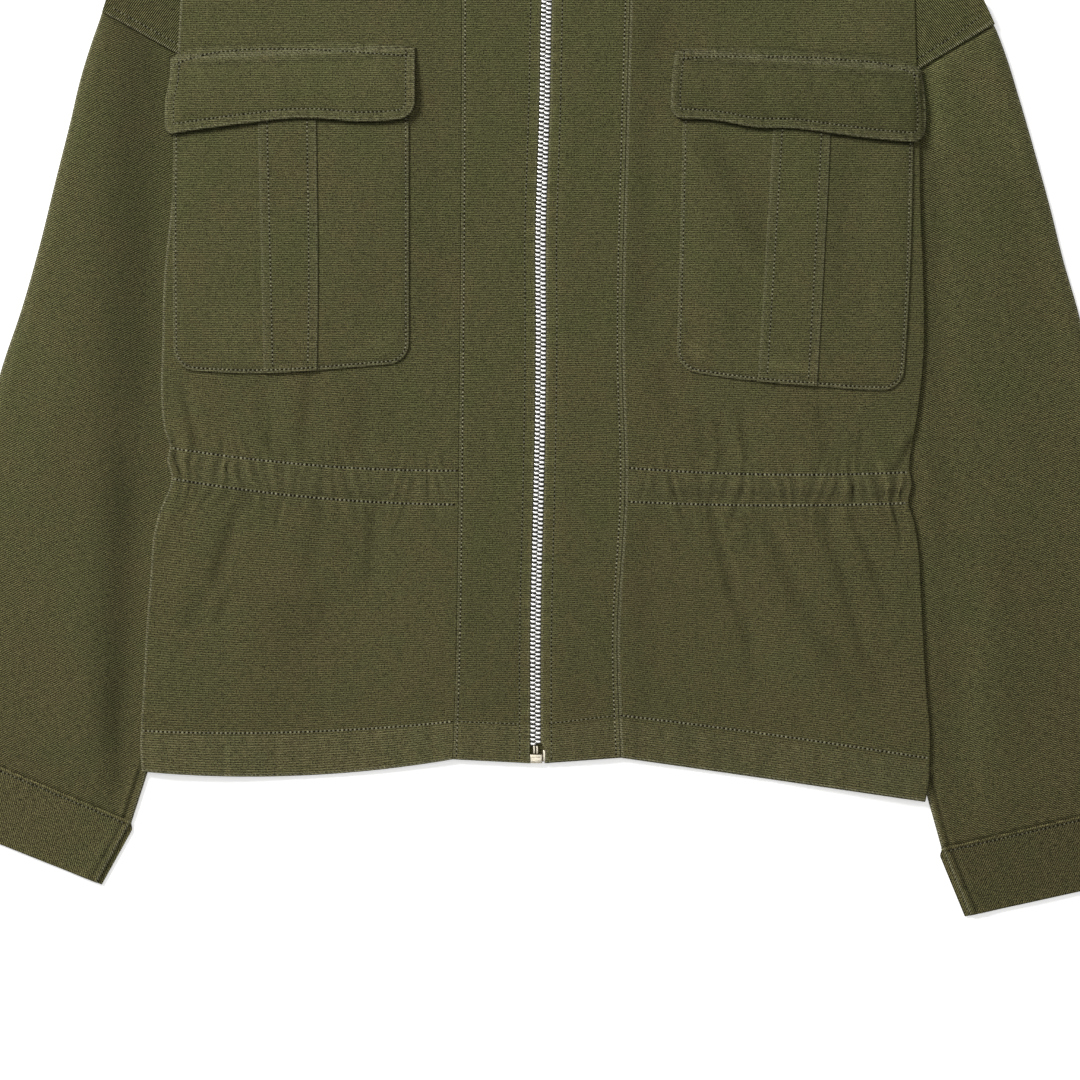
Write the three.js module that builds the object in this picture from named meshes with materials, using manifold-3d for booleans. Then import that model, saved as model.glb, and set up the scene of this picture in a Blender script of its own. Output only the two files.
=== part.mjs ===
// A cotton field jacket with a zipped front, laid out flat on a table with its front up.
// Millimetres, +Z up. The neck points along +Y, the hem along -Y, and the wearer's right side is at -X.
// The sleeves lie beside the body and partly under it, so the body rests over them.
// Every cloth piece is a closed wall. The layers are stacked from the table up: sleeves, back, fronts and
// front bands, pockets, pleat strips, flaps.
import * as THREE from 'three';
import { mergeVertices } from 'three/addons/utils/BufferGeometryUtils.js';
import Module from 'manifold-3d';

const wasm = await Module();
wasm.setup();

// Cloth and stack heights
const CLOTH = 1.2;
const SEAM_GAP = 0.3;
const FRONT_CLOTH = 1.4;
const FLAP_CLOTH = 1.6;
const PLEAT_CLOTH = 1.0;
const SHOULDER_CLOTH = 1.0;
const LAID_ON = 0.35;
const SLEEVE_FLAT = 2.9;
const SLEEVE_LOFT = 1.9;
const BODY_OVER_SLEEVE = SLEEVE_FLAT + SEAM_GAP;
const ZIP_SPACE = 1.6;
const FIELD_SPACE = 0.45;

// How far past the sleeve the body stays up, and how far it then takes to reach the table
const LIFT_MARGIN = 15;
const LIFT_RAMP = 90;

// Neck and shoulders
const NECK = { x: 7.8, y: 318.5, halfWidth: 78, frontDrop: 68, backDrop: 19.5 };
const SHOULDER_END = { right: { x: -280.4, y: 221 }, left: { x: 290.6, y: 221 } };
const SHOULDER_TUCK = 6.5;
const COLLAR = { seamOffset: 0.9, backSeam: 1.1, top: 372, frontDrop: 62, backDrop: 13 };

// Middle of the zip at each height
const ZIP_LINE = [
  { y: 312, x: 8.4 },
  { y: 250, x: 7.2 },
  { y: 208, x: 6.0 },
  { y: 156, x: 5.1 },
  { y: 104, x: 3.4 },
  { y: 78, x: 2.6 },
  { y: 0, x: 2.6 },
  { y: -52, x: 2.1 },
  { y: -104, x: 1.0 },
  { y: -182, x: -0.8 },
  { y: -280, x: -0.9 },
];
const ZIP = {
  railWidth: 2.95, railTop: 4.4, clothEdge: 3.4, tapeEdge: 10, tapeThick: 1,
  tapeTop: 308, teethTop: 297.7, bottom: -263.5,
};
const TEETH_GAP = 0.3;
const ZIP_BOX = { x0: -4.6, x1: 3.4, top: -269.4, bottom: -275.2, low: 1.5, high: 4.6 };
const ZIP_LUG = { x0: 3.7, x1: 5.7, top: -266.5, bottom: -274 };
const ZIP_PIN_WIDTH = 1.9;
const SLIDER_Y = 303;

// The body's side edges, each from the shoulder to the hem
const SIDE_EDGE = {
  right: [
    { y: 245, x: -230.4 }, { y: 187, x: -233.4 }, { y: 133, x: -234 }, { y: 86, x: -238 },
    { y: 42, x: -242.5 }, { y: -3, x: -243.8 }, { y: -39, x: -244.4 }, { y: -58, x: -242.5 },
    { y: -70, x: -239 }, { y: -77, x: -240.5 }, { y: -89, x: -238 }, { y: -114, x: -246.4 },
    { y: -125, x: -249 }, { y: -155, x: -251.6 }, { y: -185, x: -254 }, { y: -222, x: -256 },
    { y: -247, x: -257.4 }, { y: -264, x: -258 }, { y: -281, x: -257 },
  ],
  left: [
    { y: 245, x: 245 }, { y: 177, x: 247 }, { y: 125, x: 249 }, { y: 86, x: 249.6 },
    { y: 42, x: 251.3 }, { y: -13, x: 251.3 }, { y: -39, x: 248.7 }, { y: -55, x: 246.4 },
    { y: -69, x: 243.8 }, { y: -85, x: 242.3 }, { y: -93, x: 243.8 }, { y: -105, x: 241.8 },
    { y: -120, x: 245.7 }, { y: -135, x: 248 }, { y: -159, x: 249.6 }, { y: -188, x: 251 },
    { y: -226, x: 253.2 }, { y: -255, x: 255.5 }, { y: -273, x: 255.5 }, { y: -288, x: 254.8 },
    { y: -301, x: 252.2 },
  ],
};

// The seam between each front panel and its band
const BAND_SEAM = {
  right: [
    { y: 280, x: -48 }, { y: 221, x: -48.1 }, { y: -13, x: -49.4 }, { y: -247, x: -53 }, { y: -280, x: -54.2 },
  ],
  left: [
    { y: 280, x: 62 }, { y: 221, x: 59.8 }, { y: 131, x: 57.2 }, { y: -13, x: 54.6 },
    { y: -94, x: 56.6 }, { y: -195, x: 51.4 }, { y: -280, x: 54 },
  ],
};

// Lines across the body from the shoulders to the hem: their height at the right side, the right band's
// seam, the zip, the left band's seam and the left side. bow bends the line down between side and seam,
// crest is the share of the shoulder's slope and neckline in it, gather is the height of the waist's
// gathers there, and rows is the number of steps to the next line.
const BODY_LINES = [
  {
    rightSide: 244, rightSeam: 271, zip: 250, leftSeam: 271, leftSide: 242,
    bowRight: 0, bowLeft: 0, crest: 1, gather: 0, rows: 6,
  },
  {
    rightSide: 130, rightSeam: 131, zip: 131, leftSeam: 131, leftSide: 130,
    bowRight: 0, bowLeft: 0, crest: 0, gather: 0, rows: 6,
  },
  {
    rightSide: -48, rightSeam: -62, zip: -61, leftSeam: -60, leftSide: -64,
    bowRight: -3, bowLeft: -3, crest: 0, gather: 0, rows: 1,
  },
  {
    rightSide: -64, rightSeam: -80, zip: -78, leftSeam: -78, leftSide: -80,
    bowRight: -4, bowLeft: -3, crest: 0, gather: 0.9, rows: 1,
  },
  {
    rightSide: -70, rightSeam: -85, zip: -84, leftSeam: -83, leftSide: -86,
    bowRight: -4, bowLeft: -3, crest: 0, gather: 0.3, rows: 1,
  },
  {
    rightSide: -80, rightSeam: -96, zip: -95, leftSeam: -94, leftSide: -96,
    bowRight: -4, bowLeft: -3, crest: 0, gather: 1.5, rows: 1,
  },
  {
    rightSide: -90, rightSeam: -107, zip: -106, leftSeam: -105, leftSide: -106,
    bowRight: -4, bowLeft: -2, crest: 0, gather: 0.3, rows: 1,
  },
  {
    rightSide: -97, rightSeam: -114, zip: -112, leftSeam: -112, leftSide: -113,
    bowRight: -4, bowLeft: -2, crest: 0, gather: 1.2, rows: 1,
  },
  {
    rightSide: -118, rightSeam: -132, zip: -130, leftSeam: -129, leftSide: -132,
    bowRight: -4, bowLeft: -2, crest: 0, gather: 0.4, rows: 1,
  },
  {
    rightSide: -142, rightSeam: -152, zip: -150, leftSeam: -148, leftSide: -156,
    bowRight: -4, bowLeft: -1, crest: 0, gather: 0, rows: 4,
  },
  {
    rightSide: -254, rightSeam: -248, zip: -250, leftSeam: -244, leftSide: -272,
    bowRight: -4, bowLeft: 1, crest: 0, gather: 0, rows: 2,
  },
  {
    rightSide: -280.5, rightSeam: -272.7, zip: -275.3, leftSeam: -271.7, leftSide: -300.3,
    bowRight: -6.8, bowLeft: 0, crest: 0, gather: 0, rows: 0,
  },
];
// How far the back's hem stays short of the fronts'
const HEM_STEP = 1.2;
const GATHERS = 22;
const FRONT_COLUMNS = 15;
const NECK_COLUMNS = 3;
const BACK_COLUMNS = 18;
const BAND_COLUMNS = 4;

// The largest creases of the fronts, as ridges from one end to the other
const CREASES = {
  right: [
    { x0: -239, y0: -96, x1: -244, y1: -140, width: 5, height: 1.4 },
    { x0: -195, y0: -110, x1: -212, y1: -156, width: 7, height: 1.2 },
    { x0: -226, y0: -42, x1: -219, y1: -74, width: 5, height: 1.3 },
    { x0: -175, y0: -60, x1: -174, y1: -74, width: 5, height: 1.0 },
    { x0: -150, y0: -120, x1: -140, y1: -210, width: 12, height: 1.0 },
  ],
  left: [
    { x0: 243, y0: -66, x1: 236, y1: -84, width: 5, height: 1.4 },
    { x0: 214, y0: -74, x1: 212, y1: -88, width: 5, height: 1.0 },
    { x0: 232, y0: -110, x1: 240, y1: -138, width: 5, height: 1.5 },
    { x0: 120, y0: -112, x1: 136, y1: -182, width: 8, height: 1.3 },
    { x0: 184, y0: -114, x1: 202, y1: -166, width: 8, height: 1.1 },
    { x0: 205, y0: -114, x1: 222, y1: -150, width: 6, height: 1.0 },
  ],
};

// Sleeves: the visible outer edge, the inner edge and the armhole seam's inner end, which lie under the body
const SLEEVES = {
  right: {
    outer: [
      { x: -282, y: 218 }, { x: -284, y: 211 }, { x: -289.3, y: 196 }, { x: -297, y: 171.5 },
      { x: -304, y: 142 }, { x: -313.3, y: 105 }, { x: -324.4, y: 60 }, { x: -336.4, y: 18 },
      { x: -347, y: -13 }, { x: -363.5, y: -72 }, { x: -380, y: -131 }, { x: -397, y: -191 },
      { x: -408, y: -231 }, { x: -413.4, y: -250.3 },
    ],
    head: { x: -121.6, y: 128 },
    wrist: { x: -263.9, y: -313.3 },
  },
  left: {
    outer: [
      { x: 294, y: 212 }, { x: 298.5, y: 203 }, { x: 304.2, y: 188.5 }, { x: 314.6, y: 155.5 },
      { x: 325, y: 119.5 }, { x: 334.1, y: 86.5 }, { x: 342.6, y: 52.5 }, { x: 353, y: 16.3 },
      { x: 361.5, y: -22 }, { x: 376.5, y: -90 }, { x: 391.5, y: -158 }, { x: 406, y: -224 },
      { x: 416.5, y: -271 }, { x: 421.5, y: -293.8 },
    ],
    head: { x: 139.8, y: 116 },
    wrist: { x: 263.3, y: -330.5 },
  },
};
const ARMHOLE_SEAM = {
  right: { outer: { x: -282.8, y: 213.2 }, inner: { x: -121.6, y: 123.5 } },
  left: { outer: { x: 297.7, y: 205.4 }, inner: { x: 139.8, y: 111.8 } },
};
const SLEEVE_VISIBLE_COLUMNS = 4;
const SLEEVE_HIDDEN_COLUMNS = 2;
const CUFFS = {
  right: {
    seamOuter: { x: -413.4, y: -250.3 }, seamInner: { x: -264.6, y: -313.3 },
    edgeOuter: { x: -432.3, y: -295.1 }, edgeInner: { x: -286.2, y: -353.3 },
  },
  left: {
    seamOuter: { x: 421.5, y: -293.8 }, seamInner: { x: 263.6, y: -330.5 },
    edgeOuter: { x: 432.6, y: -341.3 }, edgeInner: { x: 281.5, y: -374.6 },
  },
};
const CUFF = { height: 3.4, peek: 4.5, columns: 5, rows: 3 };

// Chest pockets with their pleat strips, and the flaps over them
const POCKETS = {
  right: {
    top: [{ x: -240, y: 168 }, { x: -80, y: 178 }],
    bottom: [
      { x: -237, y: -19 }, { x: -222, y: -20.5 }, { x: -178, y: -22.1 }, { x: -142, y: -20.2 },
      { x: -119.6, y: -18.2 }, { x: -82, y: -15 },
    ],
    outside: [{ y: 168, x: -236 }, { y: 80, x: -236.8 }, { y: -20, x: -236.2 }],
    inside: [{ y: 178, x: -83 }, { y: -16, x: -82.9 }],
    pleatOutside: [{ y: 170, x: -182 }, { y: -22, x: -177.5 }],
    pleatInside: [{ y: 170, x: -143.4 }, { y: 6, x: -142 }, { y: -21, x: -142.5 }],
  },
  left: {
    top: [{ x: 92, y: 174 }, { x: 246, y: 162 }],
    bottom: [
      { x: 90, y: -19 }, { x: 106, y: -22.1 }, { x: 143, y: -27.3 }, { x: 182, y: -30.6 },
      { x: 223, y: -33.2 }, { x: 238, y: -33 },
    ],
    outside: [
      { y: 165, x: 244.6 }, { y: 125, x: 244.4 }, { y: 86, x: 243.8 }, { y: -13, x: 239.2 }, { y: -33, x: 237.6 },
    ],
    inside: [{ y: 172, x: 95.2 }, { y: 140, x: 94.5 }, { y: 26, x: 91.7 }, { y: -21, x: 90.2 }],
    pleatOutside: [{ y: 168, x: 192 }, { y: 101, x: 189.2 }, { y: 57, x: 186.9 }, { y: -31, x: 182 }],
    pleatInside: [{ y: 168, x: 155 }, { y: -28, x: 143 }],
  },
};
const POCKET_CORNER = 13;
const POCKET_STEPS = [0, 0.18, 0.36, 0.54, 0.72, 0.86, 0.93, 0.965, 0.988, 1];
const POCKET_COLUMNS = 10;
const FLAPS = {
  right: {
    top: [
      { x: -242, y: 181 }, { x: -226.9, y: 187.5 }, { x: -210.6, y: 191.8 }, { x: -193.7, y: 193.7 },
      { x: -146.3, y: 194.4 }, { x: -102.7, y: 191.8 }, { x: -78, y: 190 },
    ],
    bottom: [
      { x: -242, y: 132.4 }, { x: -208.7, y: 137.2 }, { x: -183.3, y: 140.4 }, { x: -158.6, y: 143 },
      { x: -142.4, y: 143 }, { x: -115, y: 141 }, { x: -96.2, y: 141.7 }, { x: -78, y: 144 },
    ],
    outside: [{ y: 182, x: -238.2 }, { y: 170, x: -238.6 }, { y: 158, x: -241.2 }, { y: 133, x: -241.8 }],
    inside: [{ y: 190, x: -79 }, { y: 144, x: -79 }],
    cornerOutside: 3,
    cornerInside: 10,
  },
  left: {
    top: [
      { x: 86, y: 187.6 }, { x: 99.5, y: 189.2 }, { x: 141.7, y: 189.8 }, { x: 178.8, y: 189.2 },
      { x: 203.5, y: 187.2 }, { x: 222.3, y: 185.3 }, { x: 238.6, y: 180.7 }, { x: 253, y: 173.5 },
    ],
    bottom: [
      { x: 86, y: 143.4 }, { x: 116.4, y: 141.7 }, { x: 141.7, y: 137.2 }, { x: 166.4, y: 136.5 },
      { x: 191.1, y: 133.3 }, { x: 216.5, y: 130 }, { x: 253, y: 126.8 },
    ],
    outside: [{ y: 175, x: 250.4 }, { y: 148, x: 252.9 }, { y: 127, x: 252.2 }],
    inside: [{ y: 188, x: 89.7 }, { y: 166, x: 87.1 }, { y: 143, x: 86.5 }],
    cornerOutside: 7,
    cornerInside: 8,
  },
};
const FLAP_STEPS = [0, 0.1, 0.24, 0.42, 0.62, 0.8, 0.9, 0.96, 1];
const FLAP_COLUMNS = 13;
// How the flap climbs from its seam over the pocket and the pleat strip, as a share of its depth
const FLAP_CLIMB = [
  { depth: 0, rise: 0 },
  { depth: 0.1, rise: 0.4 },
  { depth: 0.24, rise: 2.0 },
  { depth: 0.42, rise: 3.2 },
  { depth: 1, rise: 3.3 },
];

// Moves the layout so that the middle of its box lies on the origin
const LAYOUT = { x: 0.15, y: -1.63 };

const canvas = new THREE.MeshStandardMaterial({ color: 0x5c5a45, roughness: 0.9, metalness: 0 });
const zipTape = new THREE.MeshStandardMaterial({ color: 0x35352c, roughness: 0.9, metalness: 0 });
const zipMetal = new THREE.MeshStandardMaterial({ color: 0xb9b6ab, roughness: 0.35, metalness: 0.9 });
const jacket = new THREE.Group();

function mix(a, b, share) {
  return a + (b - a) * share;
}

function smooth(share) {
  const s = Math.min(1, Math.max(0, share));
  return s * s * (3 - 2 * s);
}

// Reads column `wanted` of a table where column `key` is `value`, going straight on past its ends
function read(table, key, value, wanted) {
  const rising = table[table.length - 1][key] > table[0][key];
  let row = 0;
  while (row < table.length - 2 && (rising ? value > table[row + 1][key] : value < table[row + 1][key])) {
    row += 1;
  }
  const share = (value - table[row][key]) / (table[row + 1][key] - table[row][key]);
  return mix(table[row][wanted], table[row + 1][wanted], share);
}

function pointBetween(a, b, share) {
  return { x: mix(a.x, b.x, share), y: mix(a.y, b.y, share) };
}

// Turns points and triangles into a mesh whose faces point out
function addSolid(name, material, points, triangles) {
  let volume = 0;
  for (const [a, b, c] of triangles) {
    const [p, q, r] = [points[a], points[b], points[c]];
    volume += p[0] * (q[1] * r[2] - q[2] * r[1]);
    volume += p[1] * (q[2] * r[0] - q[0] * r[2]);
    volume += p[2] * (q[0] * r[1] - q[1] * r[0]);
  }
  const index = triangles.flatMap(([a, b, c]) => (volume > 0 ? [a, b, c] : [a, c, b]));
  const geometry = new THREE.BufferGeometry();
  const placed = points.flatMap(([x, y, z]) => [x - LAYOUT.x, y - LAYOUT.y, z]);
  geometry.setAttribute('position', new THREE.Float32BufferAttribute(placed, 3));
  geometry.setIndex(index);
  geometry.computeVertexNormals();
  const mesh = new THREE.Mesh(geometry, material);
  mesh.name = name;
  jacket.add(mesh);
  return mesh;
}

// Joins two rows of points that run side by side and may have different numbers of points
function joinRows(triangles, first, second, turned) {
  let i = 0;
  let j = 0;
  while (i < first.length - 1 || j < second.length - 1) {
    const nextFirst = i < first.length - 1 ? first[i + 1].share : Infinity;
    const nextSecond = j < second.length - 1 ? second[j + 1].share : Infinity;
    let triangle;
    if (nextFirst <= nextSecond) {
      triangle = [first[i].id, second[j].id, first[i + 1].id];
      i += 1;
    } else {
      triangle = [first[i].id, second[j].id, second[j + 1].id];
      j += 1;
    }
    triangles.push(turned ? triangle.reverse() : triangle);
  }
}

// A closed wall of cloth between upper rows and lower rows of points {x, y, z, share}. Both run from the
// neck to the hem and from -X to +X, and share says how far along its row a point lies.
function addWall(name, material, upperRows, lowerRows) {
  const points = [];
  const triangles = [];
  const number = (rows) => rows.map((row) => row.map((point) => {
    points.push([point.x, point.y, point.z]);
    return { id: points.length - 1, share: point.share };
  }));
  const upper = number(upperRows);
  const lower = number(lowerRows);
  const last = upper.length - 1;
  for (let row = 0; row < last; row += 1) {
    joinRows(triangles, upper[row], upper[row + 1], false);
    joinRows(triangles, lower[row], lower[row + 1], true);
    const [u0, u1, l0, l1] = [upper[row][0].id, upper[row + 1][0].id, lower[row][0].id, lower[row + 1][0].id];
    triangles.push([u0, l0, l1], [u0, l1, u1]);
    const [v0, v1] = [upper[row].at(-1).id, upper[row + 1].at(-1).id];
    const [m0, m1] = [lower[row].at(-1).id, lower[row + 1].at(-1).id];
    triangles.push([v0, v1, m1], [v0, m1, m0]);
  }
  joinRows(triangles, upper[0], lower[0], true);
  joinRows(triangles, upper[last], lower[last], false);
  return addSolid(name, material, points, triangles);
}

// A closed tube wall between outer loops and inner loops of points, open at both ends
function addTube(name, material, outerLoops, innerLoops) {
  const size = outerLoops[0].length;
  const count = outerLoops.length;
  const points = [...outerLoops.flat(), ...innerLoops.flat()];
  const outer = (loop, k) => loop * size + (k % size);
  const inner = (loop, k) => count * size + loop * size + (k % size);
  const triangles = [];
  const quad = (a, b, c, d) => triangles.push([a, b, c], [a, c, d]);
  for (let k = 0; k < size; k += 1) {
    for (let loop = 0; loop < count - 1; loop += 1) {
      quad(outer(loop, k), outer(loop, k + 1), outer(loop + 1, k + 1), outer(loop + 1, k));
      quad(inner(loop, k), inner(loop + 1, k), inner(loop + 1, k + 1), inner(loop, k + 1));
    }
    quad(outer(0, k + 1), outer(0, k), inner(0, k), inner(0, k + 1));
    quad(outer(count - 1, k), outer(count - 1, k + 1), inner(count - 1, k + 1), inner(count - 1, k));
  }
  return addSolid(name, material, points, triangles);
}

// A plain box of zip metal
function addBox(name, x0, x1, y0, y1, z0, z1) {
  const row = (y, z) => [{ x: x0, y, z, share: 0 }, { x: x1, y, z, share: 1 }];
  return addWall(name, zipMetal, [row(y1, z1), row(y0, z1)], [row(y1, z0), row(y0, z0)]);
}

// Distance of x, y from the line between two points, positive on the right of the way from the first
function distanceFrom(first, second, x, y) {
  const dx = second.x - first.x;
  const dy = second.y - first.y;
  return ((x - first.x) * dy - (y - first.y) * dx) / Math.hypot(dx, dy);
}

// Height of the body's underside: up over the hidden sleeves, and down on the table between them
function bodyLift(x, y) {
  let lift = 0;
  for (const side of ['right', 'left']) {
    const inward = side === 'right' ? 1 : -1;
    const { outer, inner } = ARMHOLE_SEAM[side];
    const pastInner = inward * distanceFrom(SLEEVES[side].wrist, inner, x, y);
    const pastHead = inward * distanceFrom(inner, outer, x, y);
    const past = Math.hypot(Math.max(0, pastInner), Math.max(0, pastHead));
    lift = Math.max(lift, BODY_OVER_SLEEVE * (1 - smooth((past - LIFT_MARGIN) / LIFT_RAMP)));
  }
  return lift;
}

function neckline(x, inset = 0) {
  const across = (x - NECK.x) / (NECK.halfWidth - inset);
  return NECK.y - (NECK.frontDrop - inset) * Math.sqrt(Math.max(0, 1 - across * across));
}

function backNeckline(x) {
  const across = (x - NECK.x) / NECK.halfWidth;
  return NECK.y - NECK.backDrop * (1 - across * across);
}

function shoulderLine(side, x) {
  const end = SHOULDER_END[side];
  const neckX = side === 'right' ? NECK.x - NECK.halfWidth : NECK.x + NECK.halfWidth;
  return mix(end.y, NECK.y, (x - end.x) / (neckX - end.x));
}

// Space between the back and a front panel: small at the side seam, larger where the zip's tape or the
// shoulder piece lies between them
function frontSpace(side, x, y) {
  const fromSeam = Math.abs(x - read(BAND_SEAM[side], 'y', y, 'x'));
  const fromSide = Math.abs(x - read(SIDE_EDGE[side], 'y', y, 'x'));
  const field = mix(SEAM_GAP, FIELD_SPACE, smooth(fromSide / 15));
  const besideZip = mix(ZIP_SPACE, field, smooth(fromSeam / 70));
  const shoulderY = ARMHOLE_SEAM[side].outer.y;
  const atShoulder = smooth((y - shoulderY + 75) / 35) * (1 - smooth((fromSide - 12) / 60));
  return mix(besideZip, ZIP_SPACE, atShoulder);
}

function frontLow(side, x, y) {
  return bodyLift(x, y) + CLOTH + frontSpace(side, x, y);
}

function frontTop(side, x, y) {
  return frontLow(side, x, y) + FRONT_CLOTH;
}

function bandLow(x, y) {
  return bodyLift(x, y) + CLOTH + ZIP_SPACE;
}

// The body's rows, worked out between the lines of the table
function bodyRows() {
  const rows = [];
  BODY_LINES.forEach((line, number) => {
    const next = BODY_LINES[number + 1];
    const steps = Math.max(1, line.rows);
    for (let step = 0; step < steps; step += 1) {
      const row = {};
      for (const column of Object.keys(line)) {
        row[column] = next ? mix(line[column], next[column], step / steps) : line[column];
      }
      rows.push(row);
    }
  });
  return rows;
}

// Height of the gathers along a front: each rises and falls once, unevenly in width and depth
function gatherHeight(share) {
  const uneven = 0.75 + 0.25 * Math.sin(23 * share + 1) * Math.cos(11 * share);
  const nearSide = 0.75 + 0.5 * smooth((0.35 - share) / 0.35);
  return uneven * nearSide;
}

function creaseHeight(side, x, y) {
  let height = 0;
  for (const { x0, y0, x1, y1, width, height: top } of CREASES[side]) {
    const length = Math.hypot(x1 - x0, y1 - y0);
    const along = ((x - x0) * (x1 - x0) + (y - y0) * (y1 - y0)) / length / length;
    const across = ((x - x0) * (y1 - y0) - (y - y0) * (x1 - x0)) / length;
    const ends = smooth((along + 0.25) / 0.35) * smooth((1.25 - along) / 0.35);
    height = Math.max(height, top * ends * Math.exp(-((across / width) ** 2)));
  }
  return height;
}

// The shares along a front at which the shoulder line is bent: evenly to the neck, then round the neckline
function frontShares(side) {
  const sign = side === 'right' ? -1 : 1;
  const top = BODY_LINES[0];
  const sideX = read(SIDE_EDGE[side], 'y', top[`${side}Side`], 'x');
  const seamX = read(BAND_SEAM[side], 'y', top[`${side}Seam`], 'x');
  const seamAngle = Math.acos(Math.abs(seamX - NECK.x) / NECK.halfWidth);
  const neckShare = (NECK.x + sign * NECK.halfWidth - sideX) / (seamX - sideX);
  const shares = [];
  for (let k = 0; k < FRONT_COLUMNS - NECK_COLUMNS; k += 1) {
    shares.push((neckShare * k) / (FRONT_COLUMNS - NECK_COLUMNS));
  }
  for (let k = 0; k <= NECK_COLUMNS; k += 1) {
    const x = NECK.x + sign * NECK.halfWidth * Math.cos((seamAngle * k) / NECK_COLUMNS);
    shares.push((x - sideX) / (seamX - sideX));
  }
  return shares;
}

function evenShares(count) {
  return Array.from({ length: count + 1 }, (_, k) => k / count);
}

// One row of a front, at shares from its side edge to the band's seam
function frontRow(side, row, shares) {
  const top = BODY_LINES[0];
  const sideY = row[`${side}Side`];
  const seamY = row[`${side}Seam`];
  const bow = side === 'right' ? row.bowRight : row.bowLeft;
  const sideX = read(SIDE_EDGE[side], 'y', sideY, 'x');
  const seamGap = side === 'right' ? -SEAM_GAP / 2 : SEAM_GAP / 2;
  const seamX = read(BAND_SEAM[side], 'y', seamY, 'x') + seamGap;
  const topSideX = read(SIDE_EDGE[side], 'y', top[`${side}Side`], 'x');
  const topSeamX = read(BAND_SEAM[side], 'y', top[`${side}Seam`], 'x');
  return shares.map((share) => {
    const topX = mix(topSideX, topSeamX, share);
    const inNeck = Math.abs(topX - NECK.x) < NECK.halfWidth;
    const crestY = inNeck ? neckline(topX) : shoulderLine(side, topX);
    const chordY = mix(top[`${side}Side`], top[`${side}Seam`], share);
    const x = mix(sideX, seamX, share);
    const y = mix(sideY, seamY, share) + bow * 4 * share * (1 - share) + row.crest * (crestY - chordY);
    return { x, y, share };
  });
}

function leftToRight(side, row) {
  return side === 'right' ? row : row.map((point) => ({ ...point, share: 1 - point.share })).reverse();
}

function addFront(side) {
  const rows = bodyRows();
  const plainShares = frontShares(side);
  const gatherShares = evenShares(GATHERS * 2);
  const upper = rows.map((row) => {
    const shares = row.gather > 0 ? gatherShares : plainShares;
    const points = frontRow(side, row, shares).map((point, k) => {
      const gather = k % 2 === 1 ? row.gather * gatherHeight(point.share) : 0;
      const raised = Math.max(gather, creaseHeight(side, point.x, point.y));
      return { ...point, z: frontTop(side, point.x, point.y) + raised };
    });
    return leftToRight(side, points);
  });
  // The plain underside takes every second column up to the neck, and all of those round the neckline
  const underShares = plainShares.filter((share, k) => k % 2 === 0 || k > FRONT_COLUMNS - NECK_COLUMNS);
  const lower = rows.map((row) => leftToRight(side, frontRow(side, row, underShares).map((point) => (
    { ...point, z: frontLow(side, point.x, point.y) }
  ))));
  return addWall(`front_${side}`, canvas, upper, lower);
}

// Distance from the zip's middle to the band's edge, wider beside the retainer box
function bandClearance(side, y) {
  if (y > ZIP.bottom + 2) {
    return ZIP.clothEdge;
  }
  return side === 'right' ? 4.1 : 7.0;
}

function addBand(side) {
  const sign = side === 'right' ? -1 : 1;
  const seamKey = `${side}Seam`;
  const top = BODY_LINES[0];
  const rows = bodyRows();
  const atBox = { ...rows[rows.length - 2], [seamKey]: ZIP.bottom + 3, zip: ZIP.bottom + 3 };
  const belowBox = { ...atBox, [seamKey]: ZIP.bottom, zip: ZIP.bottom };
  rows.splice(rows.length - 1, 0, atBox, belowBox);
  const build = (offset) => rows.map((row) => {
    const seamX = read(BAND_SEAM[side], 'y', row[seamKey], 'x') + (sign * -SEAM_GAP) / 2;
    const edgeX = read(ZIP_LINE, 'y', row.zip, 'x') + sign * bandClearance(side, row.zip);
    const topSeamX = read(BAND_SEAM[side], 'y', top[seamKey], 'x');
    const topEdgeX = read(ZIP_LINE, 'y', top.zip, 'x') + sign * ZIP.clothEdge;
    const points = evenShares(BAND_COLUMNS).map((share) => {
      const crestY = neckline(mix(topSeamX, topEdgeX, share));
      const chordY = mix(top[seamKey], top.zip, share);
      const x = mix(seamX, edgeX, share);
      const y = mix(row[seamKey], row.zip, share) + row.crest * (crestY - chordY);
      return { x, y, z: bandLow(x, y) + offset, share };
    });
    return side === 'right' ? points : points.map((point) => ({ ...point, share: 1 - point.share })).reverse();
  });
  return addWall(`band_${side}`, canvas, build(FRONT_CLOTH), build(0));
}

// The back's outline at the sides: out along the armhole seams to the shoulder ends, then down the sides
function backSideX(side, y) {
  const seam = ARMHOLE_SEAM[side];
  const sideX = read(SIDE_EDGE[side], 'y', y, 'x');
  if (y <= seam.inner.y) {
    return sideX;
  }
  const seamX = mix(seam.outer.x, seam.inner.x, (y - seam.outer.y) / (seam.inner.y - seam.outer.y));
  const endX = SHOULDER_END[side].x;
  if (side === 'right') {
    return Math.min(sideX, Math.max(seamX, endX - 3));
  }
  return Math.max(sideX, Math.min(seamX, endX + 8));
}

// Height of a line across both fronts and bands at x
function lineHeight(row, x) {
  const side = x < NECK.x ? 'right' : 'left';
  const sideY = row[`${side}Side`];
  const seamY = row[`${side}Seam`];
  const bow = side === 'right' ? row.bowRight : row.bowLeft;
  const sideX = read(SIDE_EDGE[side], 'y', sideY, 'x');
  const seamX = read(BAND_SEAM[side], 'y', seamY, 'x');
  const share = (x - sideX) / (seamX - sideX);
  if (share <= 1) {
    return mix(sideY, seamY, share) + bow * 4 * share * (1 - share);
  }
  const zipX = read(ZIP_LINE, 'y', row.zip, 'x');
  return mix(seamY, row.zip, (x - seamX) / (zipX - seamX));
}

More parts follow.
